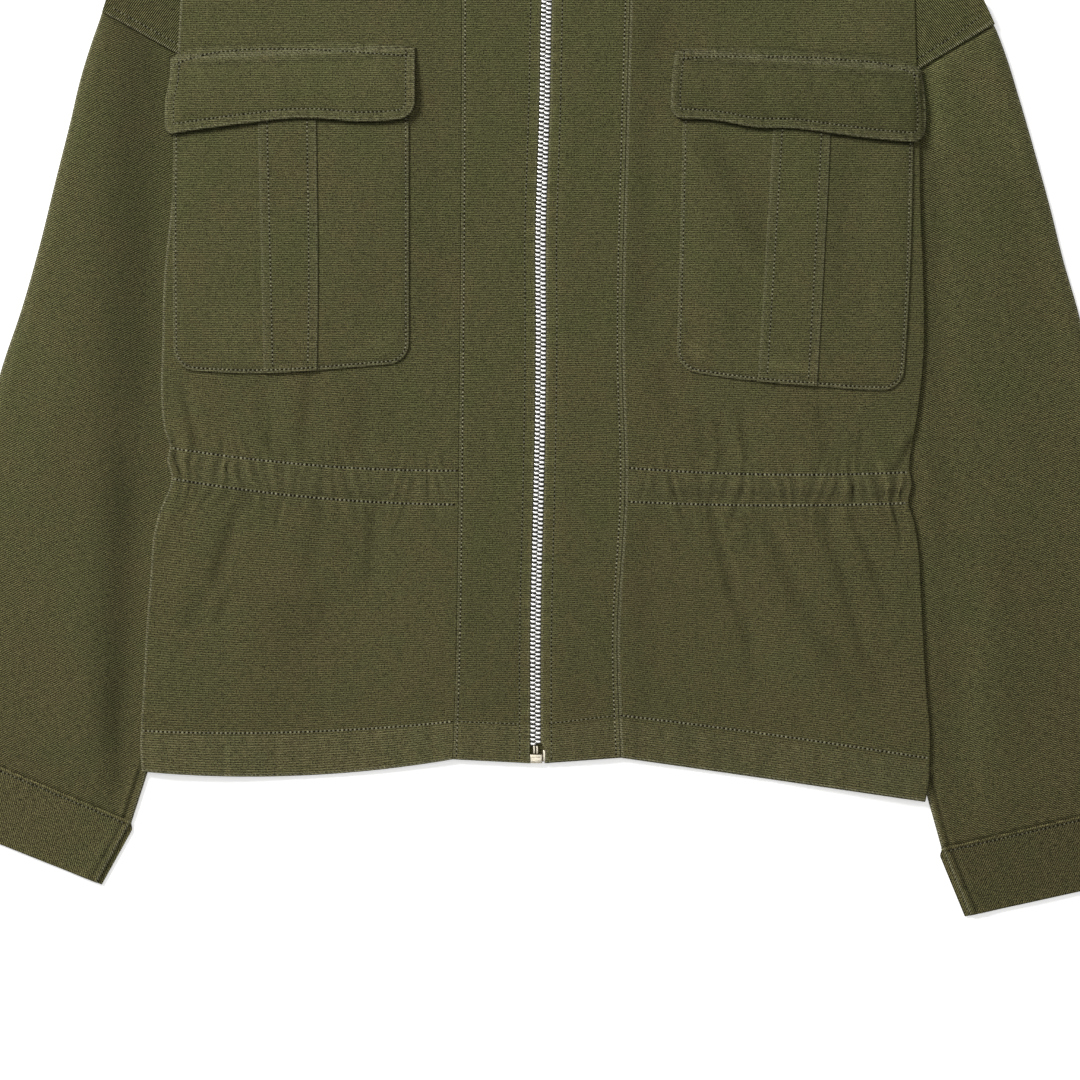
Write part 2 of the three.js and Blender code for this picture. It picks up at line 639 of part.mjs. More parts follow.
function addBack() {
  const neckLeft = NECK.x - NECK.halfWidth;
  const neckRight = NECK.x + NECK.halfWidth;
  const topLine = (x) => {
    if (x > neckLeft && x < neckRight) {
      return backNeckline(x);
    }
    return x < NECK.x ? shoulderLine('right', x) : shoulderLine('left', x);
  };
  // Rows that follow the shoulders and neck, then flatten towards the chest
  const ends = [
    { right: 221, left: 221, crest: 1 },
    { right: 213.5, left: 205.8, crest: 0.9 },
    { right: 200, left: 191, crest: 0.78 },
    { right: 187, left: 176, crest: 0.66 },
    { right: 160, left: 155, crest: 0.42 },
    { right: 130, left: 130, crest: 0.16 },
    { right: 100, left: 100, crest: 0 },
  ];
  for (const row of bodyRows().filter((line) => line.rightSide < 95)) {
    ends.push({ right: row.rightSide, left: row.leftSide, crest: 0, row });
  }
  const topRight = SHOULDER_END.right;
  const topLeft = SHOULDER_END.left;
  const stops = [topRight.x, neckLeft, neckRight, topLeft.x];
  const shares = evenShares(BACK_COLUMNS).map((share) => {
    const stop = Math.min(2, Math.floor(share * 3));
    return (mix(stops[stop], stops[stop + 1], share * 3 - stop) - topRight.x) / (topLeft.x - topRight.x);
  });
  const build = (offset) => ends.map(({ right, left, crest, row }) => {
    const x0 = backSideX('right', right);
    const x1 = backSideX('left', left);
    return shares.map((share) => {
      const topX = mix(topRight.x, topLeft.x, share);
      const crestY = topLine(topX) - mix(topRight.y, topLeft.y, share);
      const x = mix(x0, x1, share);
      const y = row ? lineHeight(row, x) + HEM_STEP : mix(right, left, share) + crest * crestY;
      return { x, y, z: bodyLift(x, y) + offset, share };
    });
  });
  return addWall('back', canvas, build(CLOTH), build(0));
}

// The dropped shoulder: from the shoulder end to just under the front, above the armhole seam
function addShoulder(side) {
  const sign = side === 'right' ? 1 : -1;
  const seam = ARMHOLE_SEAM[side];
  const end = SHOULDER_END[side];
  const tuckX = read(SIDE_EDGE[side], 'y', 215, 'x') + sign * SHOULDER_TUCK;
  const seamShare = (tuckX - seam.outer.x) / (seam.inner.x - seam.outer.x);
  const topInner = { x: tuckX, y: shoulderLine(side, tuckX) };
  const bottomInner = pointBetween(seam.outer, seam.inner, seamShare);
  const build = (offset) => evenShares(5).map((down) => {
    const outerPoint = pointBetween(end, seam.outer, down);
    const innerPoint = pointBetween(topInner, bottomInner, down);
    const points = evenShares(6).map((share) => {
      const point = pointBetween(outerPoint, innerPoint, share);
      return { ...point, z: bodyLift(point.x, point.y) + CLOTH + SEAM_GAP + offset, share };
    });
    return leftToRight(side, points);
  });
  return addWall(`shoulder_${side}`, canvas, build(SHOULDER_CLOTH), build(0));
}

// A flattened tube's section from its outer to its inner edge: heights(u) gives its top at u along it
function tubeSection(outerPoint, innerPoint, columns, heights, peek = 0) {
  const width = Math.hypot(innerPoint.x - outerPoint.x, innerPoint.y - outerPoint.y);
  const place = (u, z) => {
    const point = pointBetween(outerPoint, innerPoint, u / width);
    return [point.x, point.y, z];
  };
  const insideU = (u) => Math.min(width - 2.6, Math.max(2.6, u));
  const first = heights(0);
  const final = heights(width);
  const back = (u) => u * (1 + peek / width);
  const outer = [
    ...columns.map((u) => place(back(u), 0)),
    place(width + peek / 2, final / 2),
    ...[...columns].reverse().map((u) => place(u, heights(u))),
    place(0, first / 2),
  ];
  const inner = [
    ...columns.map((u) => place(back(insideU(u)), CLOTH)),
    place(width + peek / 2 - 1.2, final / 2),
    ...[...columns].reverse().map((u) => place(insideU(u), heights(u) - CLOTH)),
    place(1.2, first / 2),
  ];
  return { outer, inner };
}

// How far along a section the body's side edge crosses it
function bodyCrossing(side, outerPoint, innerPoint) {
  let low = 0;
  let high = 1;
  for (let step = 0; step < 24; step += 1) {
    const middle = (low + high) / 2;
    const point = pointBetween(outerPoint, innerPoint, middle);
    const edgeX = read(SIDE_EDGE[side], 'y', Math.max(point.y, -290), 'x');
    const beyond = side === 'right' ? point.x > edgeX : point.x < edgeX;
    if (beyond) {
      high = middle;
    } else {
      low = middle;
    }
  }
  return low;
}

function addSleeve(side) {
  const { outer, head, wrist } = SLEEVES[side];
  const lengths = [0];
  for (let k = 1; k < outer.length; k += 1) {
    lengths.push(lengths[k - 1] + Math.hypot(outer[k].x - outer[k - 1].x, outer[k].y - outer[k - 1].y));
  }
  const total = lengths.at(-1);
  const sections = outer.map((outerPoint, k) => {
    const innerPoint = pointBetween(head, wrist, lengths[k] / total);
    const width = Math.hypot(innerPoint.x - outerPoint.x, innerPoint.y - outerPoint.y);
    const visible = Math.min(bodyCrossing(side, outerPoint, innerPoint) * width - 4, width - 8);
    const columns = [];
    for (let n = 0; n < SLEEVE_VISIBLE_COLUMNS; n += 1) {
      columns.push(mix(1.4, visible, n / SLEEVE_VISIBLE_COLUMNS));
    }
    for (let n = 0; n <= SLEEVE_HIDDEN_COLUMNS; n += 1) {
      columns.push(mix(visible, width - 1.4, n / SLEEVE_HIDDEN_COLUMNS));
    }
    const belowSeam = smooth((lengths[k] - 9) / 25);
    const loft = (u) => SLEEVE_LOFT * belowSeam * smooth(u / 12) * smooth((visible - u) / 22);
    return tubeSection(outerPoint, innerPoint, columns, (u) => SLEEVE_FLAT + loft(u));
  });
  return addTube(`sleeve_${side}`, canvas, sections.map((s) => s.outer), sections.map((s) => s.inner));
}

function addCuff(side) {
  const { seamOuter, seamInner, edgeOuter, edgeInner } = CUFFS[side];
  const length = Math.hypot(edgeOuter.x - seamOuter.x, edgeOuter.y - seamOuter.y);
  const sections = [SEAM_GAP / length, ...evenShares(CUFF.rows).slice(1)].map((share) => {
    const outerPoint = pointBetween(seamOuter, edgeOuter, share);
    const innerPoint = pointBetween(seamInner, edgeInner, share);
    const width = Math.hypot(innerPoint.x - outerPoint.x, innerPoint.y - outerPoint.y);
    const columns = evenShares(CUFF.columns).map((u) => mix(1.4, width - 1.4, u));
    return tubeSection(outerPoint, innerPoint, columns, () => CUFF.height, CUFF.peek * smooth(share * 3));
  });
  return addTube(`cuff_${side}`, canvas, sections.map((s) => s.outer), sections.map((s) => s.inner));
}

// How much a rounded corner takes off a patch's side at a distance from its lower edge
function cornerInset(radius, distance) {
  const inside = Math.max(0, radius - distance);
  return radius - Math.sqrt(Math.max(0, radius * radius - inside * inside));
}

// A patch that lies on a front, between a top, a bottom and two side edges, with rounded lower corners
function addPatch(name, side, patch, steps, columnCount, low, thickness) {
  const { top, bottom, outside, inside, cornerOutside, cornerInside } = patch;
  const rows = steps.map((down) => {
    const edge = (line, radius, inward) => {
      const x = read(line, 'y', mix(line[0].y, line.at(-1).y, down), 'x');
      const height = Math.abs(line[0].y - line.at(-1).y);
      return x + inward * cornerInset(radius, (1 - down) * height);
    };
    const sign = side === 'right' ? 1 : -1;
    const x0 = edge(outside, cornerOutside, sign);
    const x1 = edge(inside, cornerInside, -sign);
    return evenShares(columnCount).map((share) => {
      const x = mix(x0, x1, share);
      const y = mix(read(top, 'x', x, 'y'), read(bottom, 'x', x, 'y'), down);
      return { x, y, down, share };
    });
  });
  const build = (offset) => rows.map((row) => leftToRight(side, row.map((point) => (
    { ...point, z: low(point) + offset }
  ))));
  return addWall(name, canvas, build(thickness), build(0));
}

function addPocket(side) {
  const pocket = { ...POCKETS[side], cornerOutside: POCKET_CORNER, cornerInside: POCKET_CORNER };
  const low = ({ x, y }) => frontTop(side, x, y) + LAID_ON;
  addPatch(`pocket_${side}`, side, pocket, POCKET_STEPS, POCKET_COLUMNS, low, CLOTH);
  const pleat = {
    ...POCKETS[side],
    outside: POCKETS[side].pleatOutside,
    inside: POCKETS[side].pleatInside,
    cornerOutside: 0,
    cornerInside: 0,
  };
  const pleatLow = ({ x, y }) => frontTop(side, x, y) + LAID_ON + CLOTH + LAID_ON;
  addPatch(`pleat_${side}`, side, pleat, evenShares(8), 3, pleatLow, PLEAT_CLOTH);
}

function addFlap(side) {
  const low = ({ x, y, down }) => frontTop(side, x, y) + LAID_ON + read(FLAP_CLIMB, 'depth', down, 'rise');
  addPatch(`flap_${side}`, side, FLAPS[side], FLAP_STEPS, FLAP_COLUMNS, low, FLAP_CLOTH);
}

// A strip beside the zip's middle, between two distances from it and down to the last teeth
function addZipStrip(name, material, side, { from, to, low, high, top }) {
  const sign = side === 'right' ? -1 : 1;
  const bends = ZIP_LINE.map((point) => point.y).filter((y) => y < top && y > ZIP.bottom);
  const levels = [top, ...bends, ZIP.bottom];
  const build = (z) => levels.map((y) => {
    const middle = read(ZIP_LINE, 'y', y, 'x');
    const xs = [middle + sign * from, middle + sign * to].sort((a, b) => a - b);
    return xs.map((x, share) => ({ x, y, z, share }));
  });
  return addWall(name, material, build(high), build(low));
}

function addZip() {
  const tapeLow = CLOTH + SEAM_GAP;
  for (const side of ['right', 'left']) {
    const tapeFrom = ZIP.railWidth + TEETH_GAP / 2 + SEAM_GAP;
    addZipStrip(`tape_${side}`, zipTape, side, {
      from: tapeFrom, to: ZIP.tapeEdge, low: tapeLow, high: tapeLow + ZIP.tapeThick, top: ZIP.tapeTop,
    });
    addZipStrip(`teeth_${side}`, zipMetal, side, {
      from: TEETH_GAP / 2,
      to: ZIP.railWidth + TEETH_GAP / 2,
      low: tapeLow,
      high: ZIP.railTop,
      top: ZIP.teethTop,
    });
  }
  addBox('zip_box', ZIP_BOX.x0, ZIP_BOX.x1, ZIP_BOX.bottom, ZIP_BOX.top, ZIP_BOX.low, ZIP_BOX.high);
  addBox('zip_lug', ZIP_LUG.x0, ZIP_LUG.x1, ZIP_LUG.bottom, ZIP_LUG.top, ZIP_BOX.low, ZIP_BOX.high);
  const middle = read(ZIP_LINE, 'y', ZIP.bottom, 'x');
  const [pinX0, pinX1] = [middle - ZIP_PIN_WIDTH, middle + ZIP_PIN_WIDTH];
  addBox('zip_pin', pinX0, pinX1, ZIP_BOX.top + SEAM_GAP, ZIP.bottom - SEAM_GAP, ZIP_BOX.low, ZIP.railTop);
}

// The slider above the last teeth, with a bridge on top that the pull tab's bar passes under
const SLIDER = { body: 3, plate: 4.5, length: 10, low: 1.6, plateLow: 4.5, plateHigh: 5.7 };
const BRIDGE = { halfWidth: 1.2, length: 8, top: 9.1, wall: 1.1 };
const PULL = {
  axisY: SLIDER_Y - 1.6, axisZ: 6.95, thick: 1.2, halfWidth: 3.5, window: 2.1, windowEnd: 6.6, length: 27,
};

// Turns a closed geometry into a solid that can be joined and cut
function toSolid(geometry) {
  const bare = geometry.clone();
  bare.deleteAttribute('normal');
  bare.deleteAttribute('uv');
  const merged = mergeVertices(bare, 1e-4);
  return new wasm.Manifold(new wasm.Mesh({
    numProp: 3,
    vertProperties: Float32Array.from(merged.attributes.position.array),
    triVerts: Uint32Array.from(merged.index.array),
  }));
}

function block(halfX, y0, y1, z0, z1) {
  const box = new THREE.BoxGeometry(halfX * 2, y1 - y0, z1 - z0);
  return toSolid(box.translate(0, (y0 + y1) / 2, (z0 + z1) / 2));
}

function addSlider() {
  const half = SLIDER.length / 2;
  const span = BRIDGE.length / 2;
  const body = block(SLIDER.body, -half, half, SLIDER.low, SLIDER.plateHigh);
  const plate = block(SLIDER.plate, -half, half, SLIDER.plateLow, SLIDER.plateHigh);
  const bridge = block(BRIDGE.halfWidth, -span, span, SLIDER.plateLow, BRIDGE.top);
  const opening = block(
    BRIDGE.halfWidth + 1, -span + BRIDGE.wall, span - BRIDGE.wall, SLIDER.plateHigh, BRIDGE.top - BRIDGE.wall,
  );
  const solid = body.add(plate).add(bridge.subtract(opening)).getMesh();
  const geometry = new THREE.BufferGeometry();
  geometry.setAttribute('position', new THREE.BufferAttribute(solid.vertProperties, 3));
  geometry.setIndex(new THREE.BufferAttribute(solid.triVerts, 1));
  geometry.computeVertexNormals();
  geometry.translate(read(ZIP_LINE, 'y', SLIDER_Y, 'x') - LAYOUT.x, SLIDER_Y - LAYOUT.y, 0);
  const mesh = new THREE.Mesh(geometry, zipMetal);
  mesh.name = 'zip_slider';
  jacket.add(mesh);
}

function addPull() {
  const middle = read(ZIP_LINE, 'y', SLIDER_Y, 'x');
  const bar = PULL.thick / 2;
  const shape = new THREE.Shape();
  shape.moveTo(-PULL.halfWidth, bar);
  shape.lineTo(-PULL.halfWidth, -PULL.length + PULL.halfWidth);
  shape.absarc(0, -PULL.length + PULL.halfWidth, PULL.halfWidth, Math.PI, Math.PI * 2, false);
  shape.lineTo(PULL.halfWidth, bar);
  shape.closePath();
  const hole = new THREE.Path();
  hole.moveTo(-PULL.window, -bar);
  hole.lineTo(PULL.window, -bar);
  hole.lineTo(PULL.window, -PULL.windowEnd);
  hole.lineTo(-PULL.window, -PULL.windowEnd);
  hole.closePath();
  shape.holes.push(hole);
  const extrusion = { depth: PULL.thick, bevelEnabled: false, curveSegments: 10 };
  const geometry = new THREE.ExtrudeGeometry(shape, extrusion);
  geometry.translate(middle - LAYOUT.x, PULL.axisY - LAYOUT.y, PULL.axisZ - bar);
  const mesh = new THREE.Mesh(geometry, zipMetal);
  mesh.name = 'zip_pull';
  jacket.add(mesh);
}

// A stand collar folded flat: down the right front, round the fold, across the back and round again
function addCollar() {
  const stations = [];
  const offset = COLLAR.seamOffset;
  const half = NECK.halfWidth - offset;
  const frontLowZ = CLOTH + ZIP_SPACE;
  const addFrontHalf = (sign, angles) => {
    for (const angle of angles) {
      const y1 = COLLAR.top - COLLAR.frontDrop * Math.sin(angle);
      const edge = (y) => read(ZIP_LINE, 'y', y, 'x') + sign * ZIP.clothEdge;
      const round = NECK.x + sign * half * Math.cos(angle);
      const pastEdge = sign * (round - edge(y1)) < 0;
      const x = pastEdge ? edge(NECK.y - NECK.frontDrop) : round;
      const xTop = pastEdge ? edge(y1) : round;
      stations.push({ x, xTop, outer: frontLowZ + CLOTH, inner: frontLowZ, y0: neckline(x, offset), y1 });
    }
  };
  const quarter = Math.PI / 2;
  const angles = evenShares(7).map((share) => share * quarter);
  const addFold = (sign, order) => {
    const centreZ = (frontLowZ + CLOTH) / 2;
    for (const turn of order) {
      const angle = quarter - turn * Math.PI;
      const outerR = centreZ;
      const innerR = centreZ - CLOTH;
      const round = (radius) => [sign * radius * Math.cos(angle), centreZ + radius * Math.sin(angle)];
      const x = NECK.x + sign * half;
      stations.push({ x, foldOuter: round(outerR), foldInner: round(innerR), y0: NECK.y + offset, y1: COLLAR.top });
    }
  };
  addFrontHalf(-1, [...angles].reverse().slice(0, -1));
  addFold(-1, [0, 0.25, 0.5, 0.75, 1]);
  for (const share of evenShares(8).slice(1, -1)) {
    const x = mix(NECK.x - half, NECK.x + half, share);
    const bend = 1 - ((x - NECK.x) / half) ** 2;
    const y1 = COLLAR.top - COLLAR.backDrop * bend;
    stations.push({ x, xTop: x, outer: 0, inner: CLOTH, y0: backNeckline(x) + COLLAR.backSeam, y1 });
  }
  addFold(1, [1, 0.75, 0.5, 0.25, 0]);
  addFrontHalf(1, angles.slice(1));
  const outline = (which) => stations.map((station) => {
    if (station.foldOuter) {
      const [dx, z] = which === 'outer' ? station.foldOuter : station.foldInner;
      return { ...station, x: station.x + dx, xTop: station.x + dx, z };
    }
    return { ...station, z: station[which] };
  });
  const outer = outline('outer');
  const inner = outline('inner');
  const loop = [...outer, ...[...inner].reverse()];
  const points = [];
  const triangles = [];
  const levels = evenShares(2);
  for (const level of levels) {
    for (const point of loop) {
      points.push([mix(point.x, point.xTop, level), mix(point.y0, point.y1, level), point.z]);
    }
  }
  const size = loop.length;
  for (let level = 0; level < levels.length - 1; level += 1) {
    for (let k = 0; k < size; k += 1) {
      const next = (k + 1) % size;
      const here = level * size;
      const above = here + size;
      triangles.push([here + k, here + next, above + next], [here + k, above + next, above + k]);
    }
  }
  const top = (levels.length - 1) * size;
  for (let k = 0; k < outer.length - 1; k += 1) {
    const [a, b, c, d] = [k, k + 1, size - 2 - k, size - 1 - k];
    triangles.push([a, c, b], [a, d, c]);
    triangles.push([top + a, top + b, top + c], [top + a, top + c, top + d]);
  }
  addSolid('collar', canvas, points, triangles);
}

addBack();
for (const side of ['right', 'left']) {
  addFront(side);
  addBand(side);
  addShoulder(side);
  addSleeve(side);
  addCuff(side);
  addPocket(side);
  addFlap(side);
}
addCollar();
addZip();
addSlider();
addPull();

export default jacket;
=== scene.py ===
# A cotton field jacket, laid flat with its front up: its cloth, sewing, zip, floor, light and camera.
# Lengths are millimetres in the layout that the pieces were laid out in, and place() brings them to
# metres in the frame. The wearer's right side is at -X, the hem at -Y, and a row runs from -X to +X.
import math

import bpy
import numpy as np
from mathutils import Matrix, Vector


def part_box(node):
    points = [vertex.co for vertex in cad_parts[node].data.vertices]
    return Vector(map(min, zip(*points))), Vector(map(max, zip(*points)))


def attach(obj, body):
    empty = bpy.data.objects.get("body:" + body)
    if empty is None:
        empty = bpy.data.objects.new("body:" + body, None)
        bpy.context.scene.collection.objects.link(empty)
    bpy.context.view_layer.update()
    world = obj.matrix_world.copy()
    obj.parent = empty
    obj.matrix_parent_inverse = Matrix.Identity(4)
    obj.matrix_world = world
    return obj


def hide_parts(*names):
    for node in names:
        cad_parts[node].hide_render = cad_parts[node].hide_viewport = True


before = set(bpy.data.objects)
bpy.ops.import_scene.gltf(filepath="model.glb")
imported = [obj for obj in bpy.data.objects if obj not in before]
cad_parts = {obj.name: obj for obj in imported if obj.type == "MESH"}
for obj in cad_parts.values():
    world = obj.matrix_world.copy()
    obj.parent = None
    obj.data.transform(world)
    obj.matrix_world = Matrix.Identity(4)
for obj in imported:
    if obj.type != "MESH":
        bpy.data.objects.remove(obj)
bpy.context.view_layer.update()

MM = 0.001
LAYOUT = (0.15, -1.63)
SIDES = ("right", "left")
BODY = "jacket"
OUTWARD = {"right": -1, "left": 1}

# Cloth and stack heights
CLOTH = 1.2
SEAM_GAP = 0.3
FRONT_CLOTH = 1.4
FLAP_CLOTH = 1.6
PLEAT_CLOTH = 1.0
SHOULDER_CLOTH = 1.0
LAID_ON = 0.35
SLEEVE_FLAT = 2.9
SLEEVE_LOFT = 1.9
ARMHOLE_DOWN = {"right": 4.6, "left": 7.0}
BODY_OVER_SLEEVE = SLEEVE_FLAT + SEAM_GAP
ZIP_SPACE = 1.6
FIELD_SPACE = 0.45
LIFT_MARGIN = 15
LIFT_RAMP = 90
# Radius of a folded edge and of an edge in a seam
EDGE_ROUND, SEAM_ROUND = 1.1, 0.7

# Neck and shoulders
NECK_X, NECK_Y, NECK_HALF, NECK_FRONT, NECK_BACK = 7.8, 318.5, 78, 68, 19.5
SHOULDER_END = {"right": (-280.4, 221), "left": (290.6, 221)}
SHOULDER_TUCK = 6.5
COLLAR_OFFSET, COLLAR_BACK_SEAM, COLLAR_TOP, COLLAR_FRONT_DROP, COLLAR_BACK_DROP = 0.9, 1.1, 372, 62, 13

# Middle of the zip: height, place
ZIP_LINE = (
    (312, 8.4), (250, 7.2), (208, 6.0), (156, 5.1), (104, 3.4), (78, 2.6),
    (0, 2.6), (-52, 2.1), (-104, 1.0), (-182, -0.8), (-280, -0.9),
)
TOOTH_PITCH = 2.84
TOOTH_LONG, TOOTH_WIDE, TOOTH_HIGH, TOOTH_BEVEL, TOOTH_PAST = 3.6, 2.05, 2.6, 0.52, 0.12
TEETH_TOP, ZIP_BOTTOM = 297.7, -263.5
TAPE_FROM, TAPE_TO, TAPE_LOW, TAPE_THICK, TAPE_TOP = 3.4, 12.7, 1.5, 1.0, 308
RAIL_TOP = 4.4
CLOTH_EDGE = 3.3
ZIP_ROW = 10.3

# The body's side edges from the shoulder to the hem: height, place
SIDE_EDGE = {
    "right": (
        (245, -230.4), (187, -233.4), (133, -234), (86, -238), (42, -242.5), (-3, -243.8), (-39, -244.4),
        (-58, -242.5), (-70, -239), (-77, -240.5), (-89, -238), (-114, -246.4), (-125, -249),
        (-155, -251.6), (-185, -254), (-222, -256), (-247, -257.4), (-264, -258), (-281, -257),
    ),
    "left": (
        (245, 245), (177, 247), (125, 249), (86, 249.6), (42, 251.3), (-13, 251.3), (-39, 248.7),
        (-55, 246.4), (-69, 243.8), (-85, 242.3), (-93, 243.8), (-105, 241.8), (-120, 245.7), (-135, 248),
        (-159, 249.6), (-188, 251), (-226, 253.2), (-255, 255.5), (-273, 255.5), (-288, 254.8), (-301, 252.2),
    ),
}
# The seam between each front and its band: height, place
BAND_SEAM = {
    "right": ((280, -48), (221, -48.1), (-13, -49.4), (-247, -53), (-280, -54.2)),
    "left": ((280, 62), (221, 59.8), (131, 57.2), (-13, 54.6), (-94, 56.6), (-195, 51.4), (-280, 54)),
}
# Lines across the body, from the shoulders to the hem. The columns are the height at the right side, right
# seam, zip, left seam and left side, the bend of the line on the right and left front, and the share of
# the shoulder's slope and the neckline in it.
LINE_COLUMNS = ("right_side", "right_seam", "zip", "left_seam", "left_side", "right_bow", "left_bow", "crest")
BODY_LINES = np.array((
    (244, 271, 250, 271, 242, 0, 0, 1),
    (130, 131, 131, 131, 130, 0, 0, 0),
    (-48, -62, -61, -60, -64, -3, -3, 0),
    (-70, -85, -84, -83, -86, -4, -3, 0),
    (-90, -107, -106, -105, -106, -4, -2, 0),
    (-142, -152, -150, -148, -156, -4, -1, 0),
    (-254, -248, -250, -244, -272, -4, 1, 0),
    (-280.5, -272.7, -275.3, -271.7, -300.3, -6.8, 0, 0),
))
CASING_TOP_LINE, CASING_LOW_LINE, HEM_LINE, EDGE_LINE = 3, 4, 6, 7
HEM_STEP, HEM_TURN, ROW_STEP = 1.2, 25, 2.3
# Heights on the back's cloth of the waist channel's middle, its two rows, the hem's row and its edge
BACK_CASING, BACK_CASING_ROWS, BACK_HEM_ROW, BACK_HEM = -88, (-77.5, -98.5), -251, -276.6
# Upper rows of the back: height at the right and the left, and the share of the shoulder's slope in them
BACK_ROWS = np.array((
    (221, 221, 1), (213.5, 205.8, 0.9), (200, 191, 0.78), (187, 176, 0.66), (160, 155, 0.42),
    (130, 130, 0.16), (100, 100, 0),
))
# The front's edge at the band's seam, and the band's edge that lies against it
SEAM_AT = 0.86
BAND_EDGE_AT = 0.8
BAND_ROW = {"right": 2.2, "left": 3.0}
CASING_MIDDLE = {"right": -88, "left": -95}
GATHER_STEP = {"right": 8.6, "left": 9.2, "back": 8.8}
# Height of the gathers above and below the two rows of the waist channel, from its middle: height, share
GATHER_REACH = (
    (44, 0), (30, 0.12), (18, 0.5), (13, 0.85), (10.5, 0.4), (7, 0.9), (0, 1.0),
    (-7, 0.9), (-10.5, 0.4), (-13, 0.9), (-20, 0.5), (-34, 0.15), (-52, 0),
)

# Soft creases of the fronts: two ends, half width, and height above or depth below the cloth round it
CREASES = {
    "right": (
        (-230, -32, -220, -72, 2.6, -1.3),
        (-223, -34, -213, -72, 4, 0.5),
        (-234.4, -58, -229.6, -76, 3, -0.6),
        (-181, -26, -174, -70, 6, -0.6),
        (-174, -60, -172.4, -75, 1.9, -0.8),
        (-163, -26, -162, -68, 8, 0.35),
        (-147, -22, -152, -70, 4.6, -0.9),
        (-131, -26, -133, -68, 8, 0.35),
        (-112, -32, -115, -70, 5.5, -0.6),
        (-91, -42, -96, -73, 5.5, -0.45),
        (-233, -99, -245.5, -134, 3.2, 0.8),
        (-220, -121, -236, -172, 9, 0.45),
        (-193, -106, -209, -158, 5.2, -1.5),
        (-217, -166, -226, -186, 6.5, -0.7),
        (-201, -167, -206, -182, 3, -0.9),
        (-210.5, -164, -213, -180, 3.6, 0.6),
        (-167.6, -106, -169.2, -121, 2.8, -0.7),
        (-163.5, -106, -165, -119, 2.6, 0.6),
        (-156.5, -116, -166, -166, 9, 0.4),
        (-139, -110, -147, -152, 5.5, -0.6),
        (-155, -172, -163, -212, 11, -0.6),
        (-137, -160, -144, -192, 8, -0.7),
        (-121.5, -124, -124.7, -142, 5.5, -0.5),
        (-105.6, -108, -108.8, -157, 4.5, -1.0),
        (-96, -112, -98, -160, 6, 0.3),
        (-190, -180, -196, -235, 14, 0.3),
    ),
    "left": (
        (82, -20, 87, -48, 5, -0.7),
        (104, -49, 110.6, -76, 3.6, -0.8),
        (117.4, -52, 121.4, -77, 3, -1.0),
        (127.5, -48, 132, -77, 3, 0.6),
        (132.6, -46, 137.7, -77, 2.8, -0.8),
        (150, -40, 154, -76, 8, 0.3),
        (185, -46, 190, -77, 5.5, -0.8),
        (210.7, -62, 210.7, -78, 2.4, -0.9),
        (244, -66, 236, -84, 2.2, -1.2),
        (239, -62, 231, -82, 4, 0.9),
        (112.3, -108, 125.8, -159, 3.6, -1.3),
        (125.8, -159, 137.7, -196, 4.2, -1.2),
        (137.7, -196, 141.5, -224, 4.5, -0.7),
        (119, -112, 131.5, -153, 2.6, 0.8),
        (134.3, -111, 144.5, -143, 3.2, -0.8),
        (147.9, -116, 168.3, -166, 5.5, -1.1),
        (168.3, -166, 192, -206, 6.5, -1.1),
        (192, -206, 210, -236, 8, -0.8),
        (156, -116, 176, -160, 5, 0.5),
        (185.2, -112, 198.8, -156, 4.2, -1.1),
        (198.8, -156, 212.4, -206, 4.4, -1.1),
        (212.4, -206, 226, -232, 5.5, -0.7),
        (202.2, -109, 219.2, -149, 2.9, -1.3),
        (219.2, -149, 229.3, -178, 4, -0.8),
        (208.5, -109, 224, -146, 3.2, 0.6),
        (232.7, -108, 236.8, -133, 2.3, -1.1),
        (69.8, -120, 73.2, -223, 8, -0.35),
        (148, -182, 165, -232, 12, 0.4),
    ),
}
# Streaks painted paler or darker: mostly painted shade and light that follow the soft shading of the cloth,
# partly paler or darker dye. Each has two ends, a half width, and how much lighter it is
FRONT_PAINTED_SHADING = {
    "right": (
        (-226, 200, -120, 206, 20, 0.05), (-71, 190, -71, 20, 9, -0.06), (-225, -100, -100, -100, 3, -0.1),
    ),
    "left": (
        (71.5, 215, 65.6, 20, 8, -0.13), (80, 215, 80, 190, 9, -0.08), (180, 203, 225, 203, 22, 0.05),
        (86, -99, 205, -100, 3, -0.2), (219, -100, 236, -99, 3, -0.2), (62, -120, 66, -250, 10, -0.05),
    ),
}
POCKET_PAINTED_SHADING = {
    "right": (
        (-200, 20, -190, -15, 14, 0.06), (-110, 0, -100, -10, 12, 0.08), (-110, 110, -105, 30, 10, -0.04),
    ),
    "left": (
        (108.5, 134, 127, 96, 8, -0.16), (130, 86, 145, 60, 8, -0.16), (102.6, 117, 99.7, 14, 9, 0.07),
        (129, 43, 127.8, 2, 8, -0.09), (100, -3, 107, -10, 4, 0.25), (218, 102, 221, 14, 8, 0.08),
        (197.4, 130, 194.4, 28, 7, -0.1), (150, -16, 178, -18, 3.5, 0.25), (170, 120, 162, 0, 14, 0.05),
    ),
}
# On the sleeves: painted shade where they slope down under the body's side edges, and a pale streak beside
# the left flap's outer end that lightens the flap's shadow there
SLEEVE_PAINTED_SHADING = {
    "right": (
        (-260, 240, -268, -60, 20, -0.31), (-271, -85, -278, -262, 14, -0.31),
        (-255, -60, -262, -240, 8, 0.06), (-322, 20, -350, -180, 26, 0.06),
    ),
    "left": (
        (283, 190, 314, 120, 22, 0.14), (258.5, 186, 259.5, 128, 6, 0.25),
        (255, 110, 266, -290, 8, -0.14), (302, -130, 314, -262, 13, -0.09),
        (330, -150, 350, -290, 20, -0.03), (286, -150, 296, -260, 8, 0.06), (330, 100, 365, -60, 14, 0.06),
    ),
}
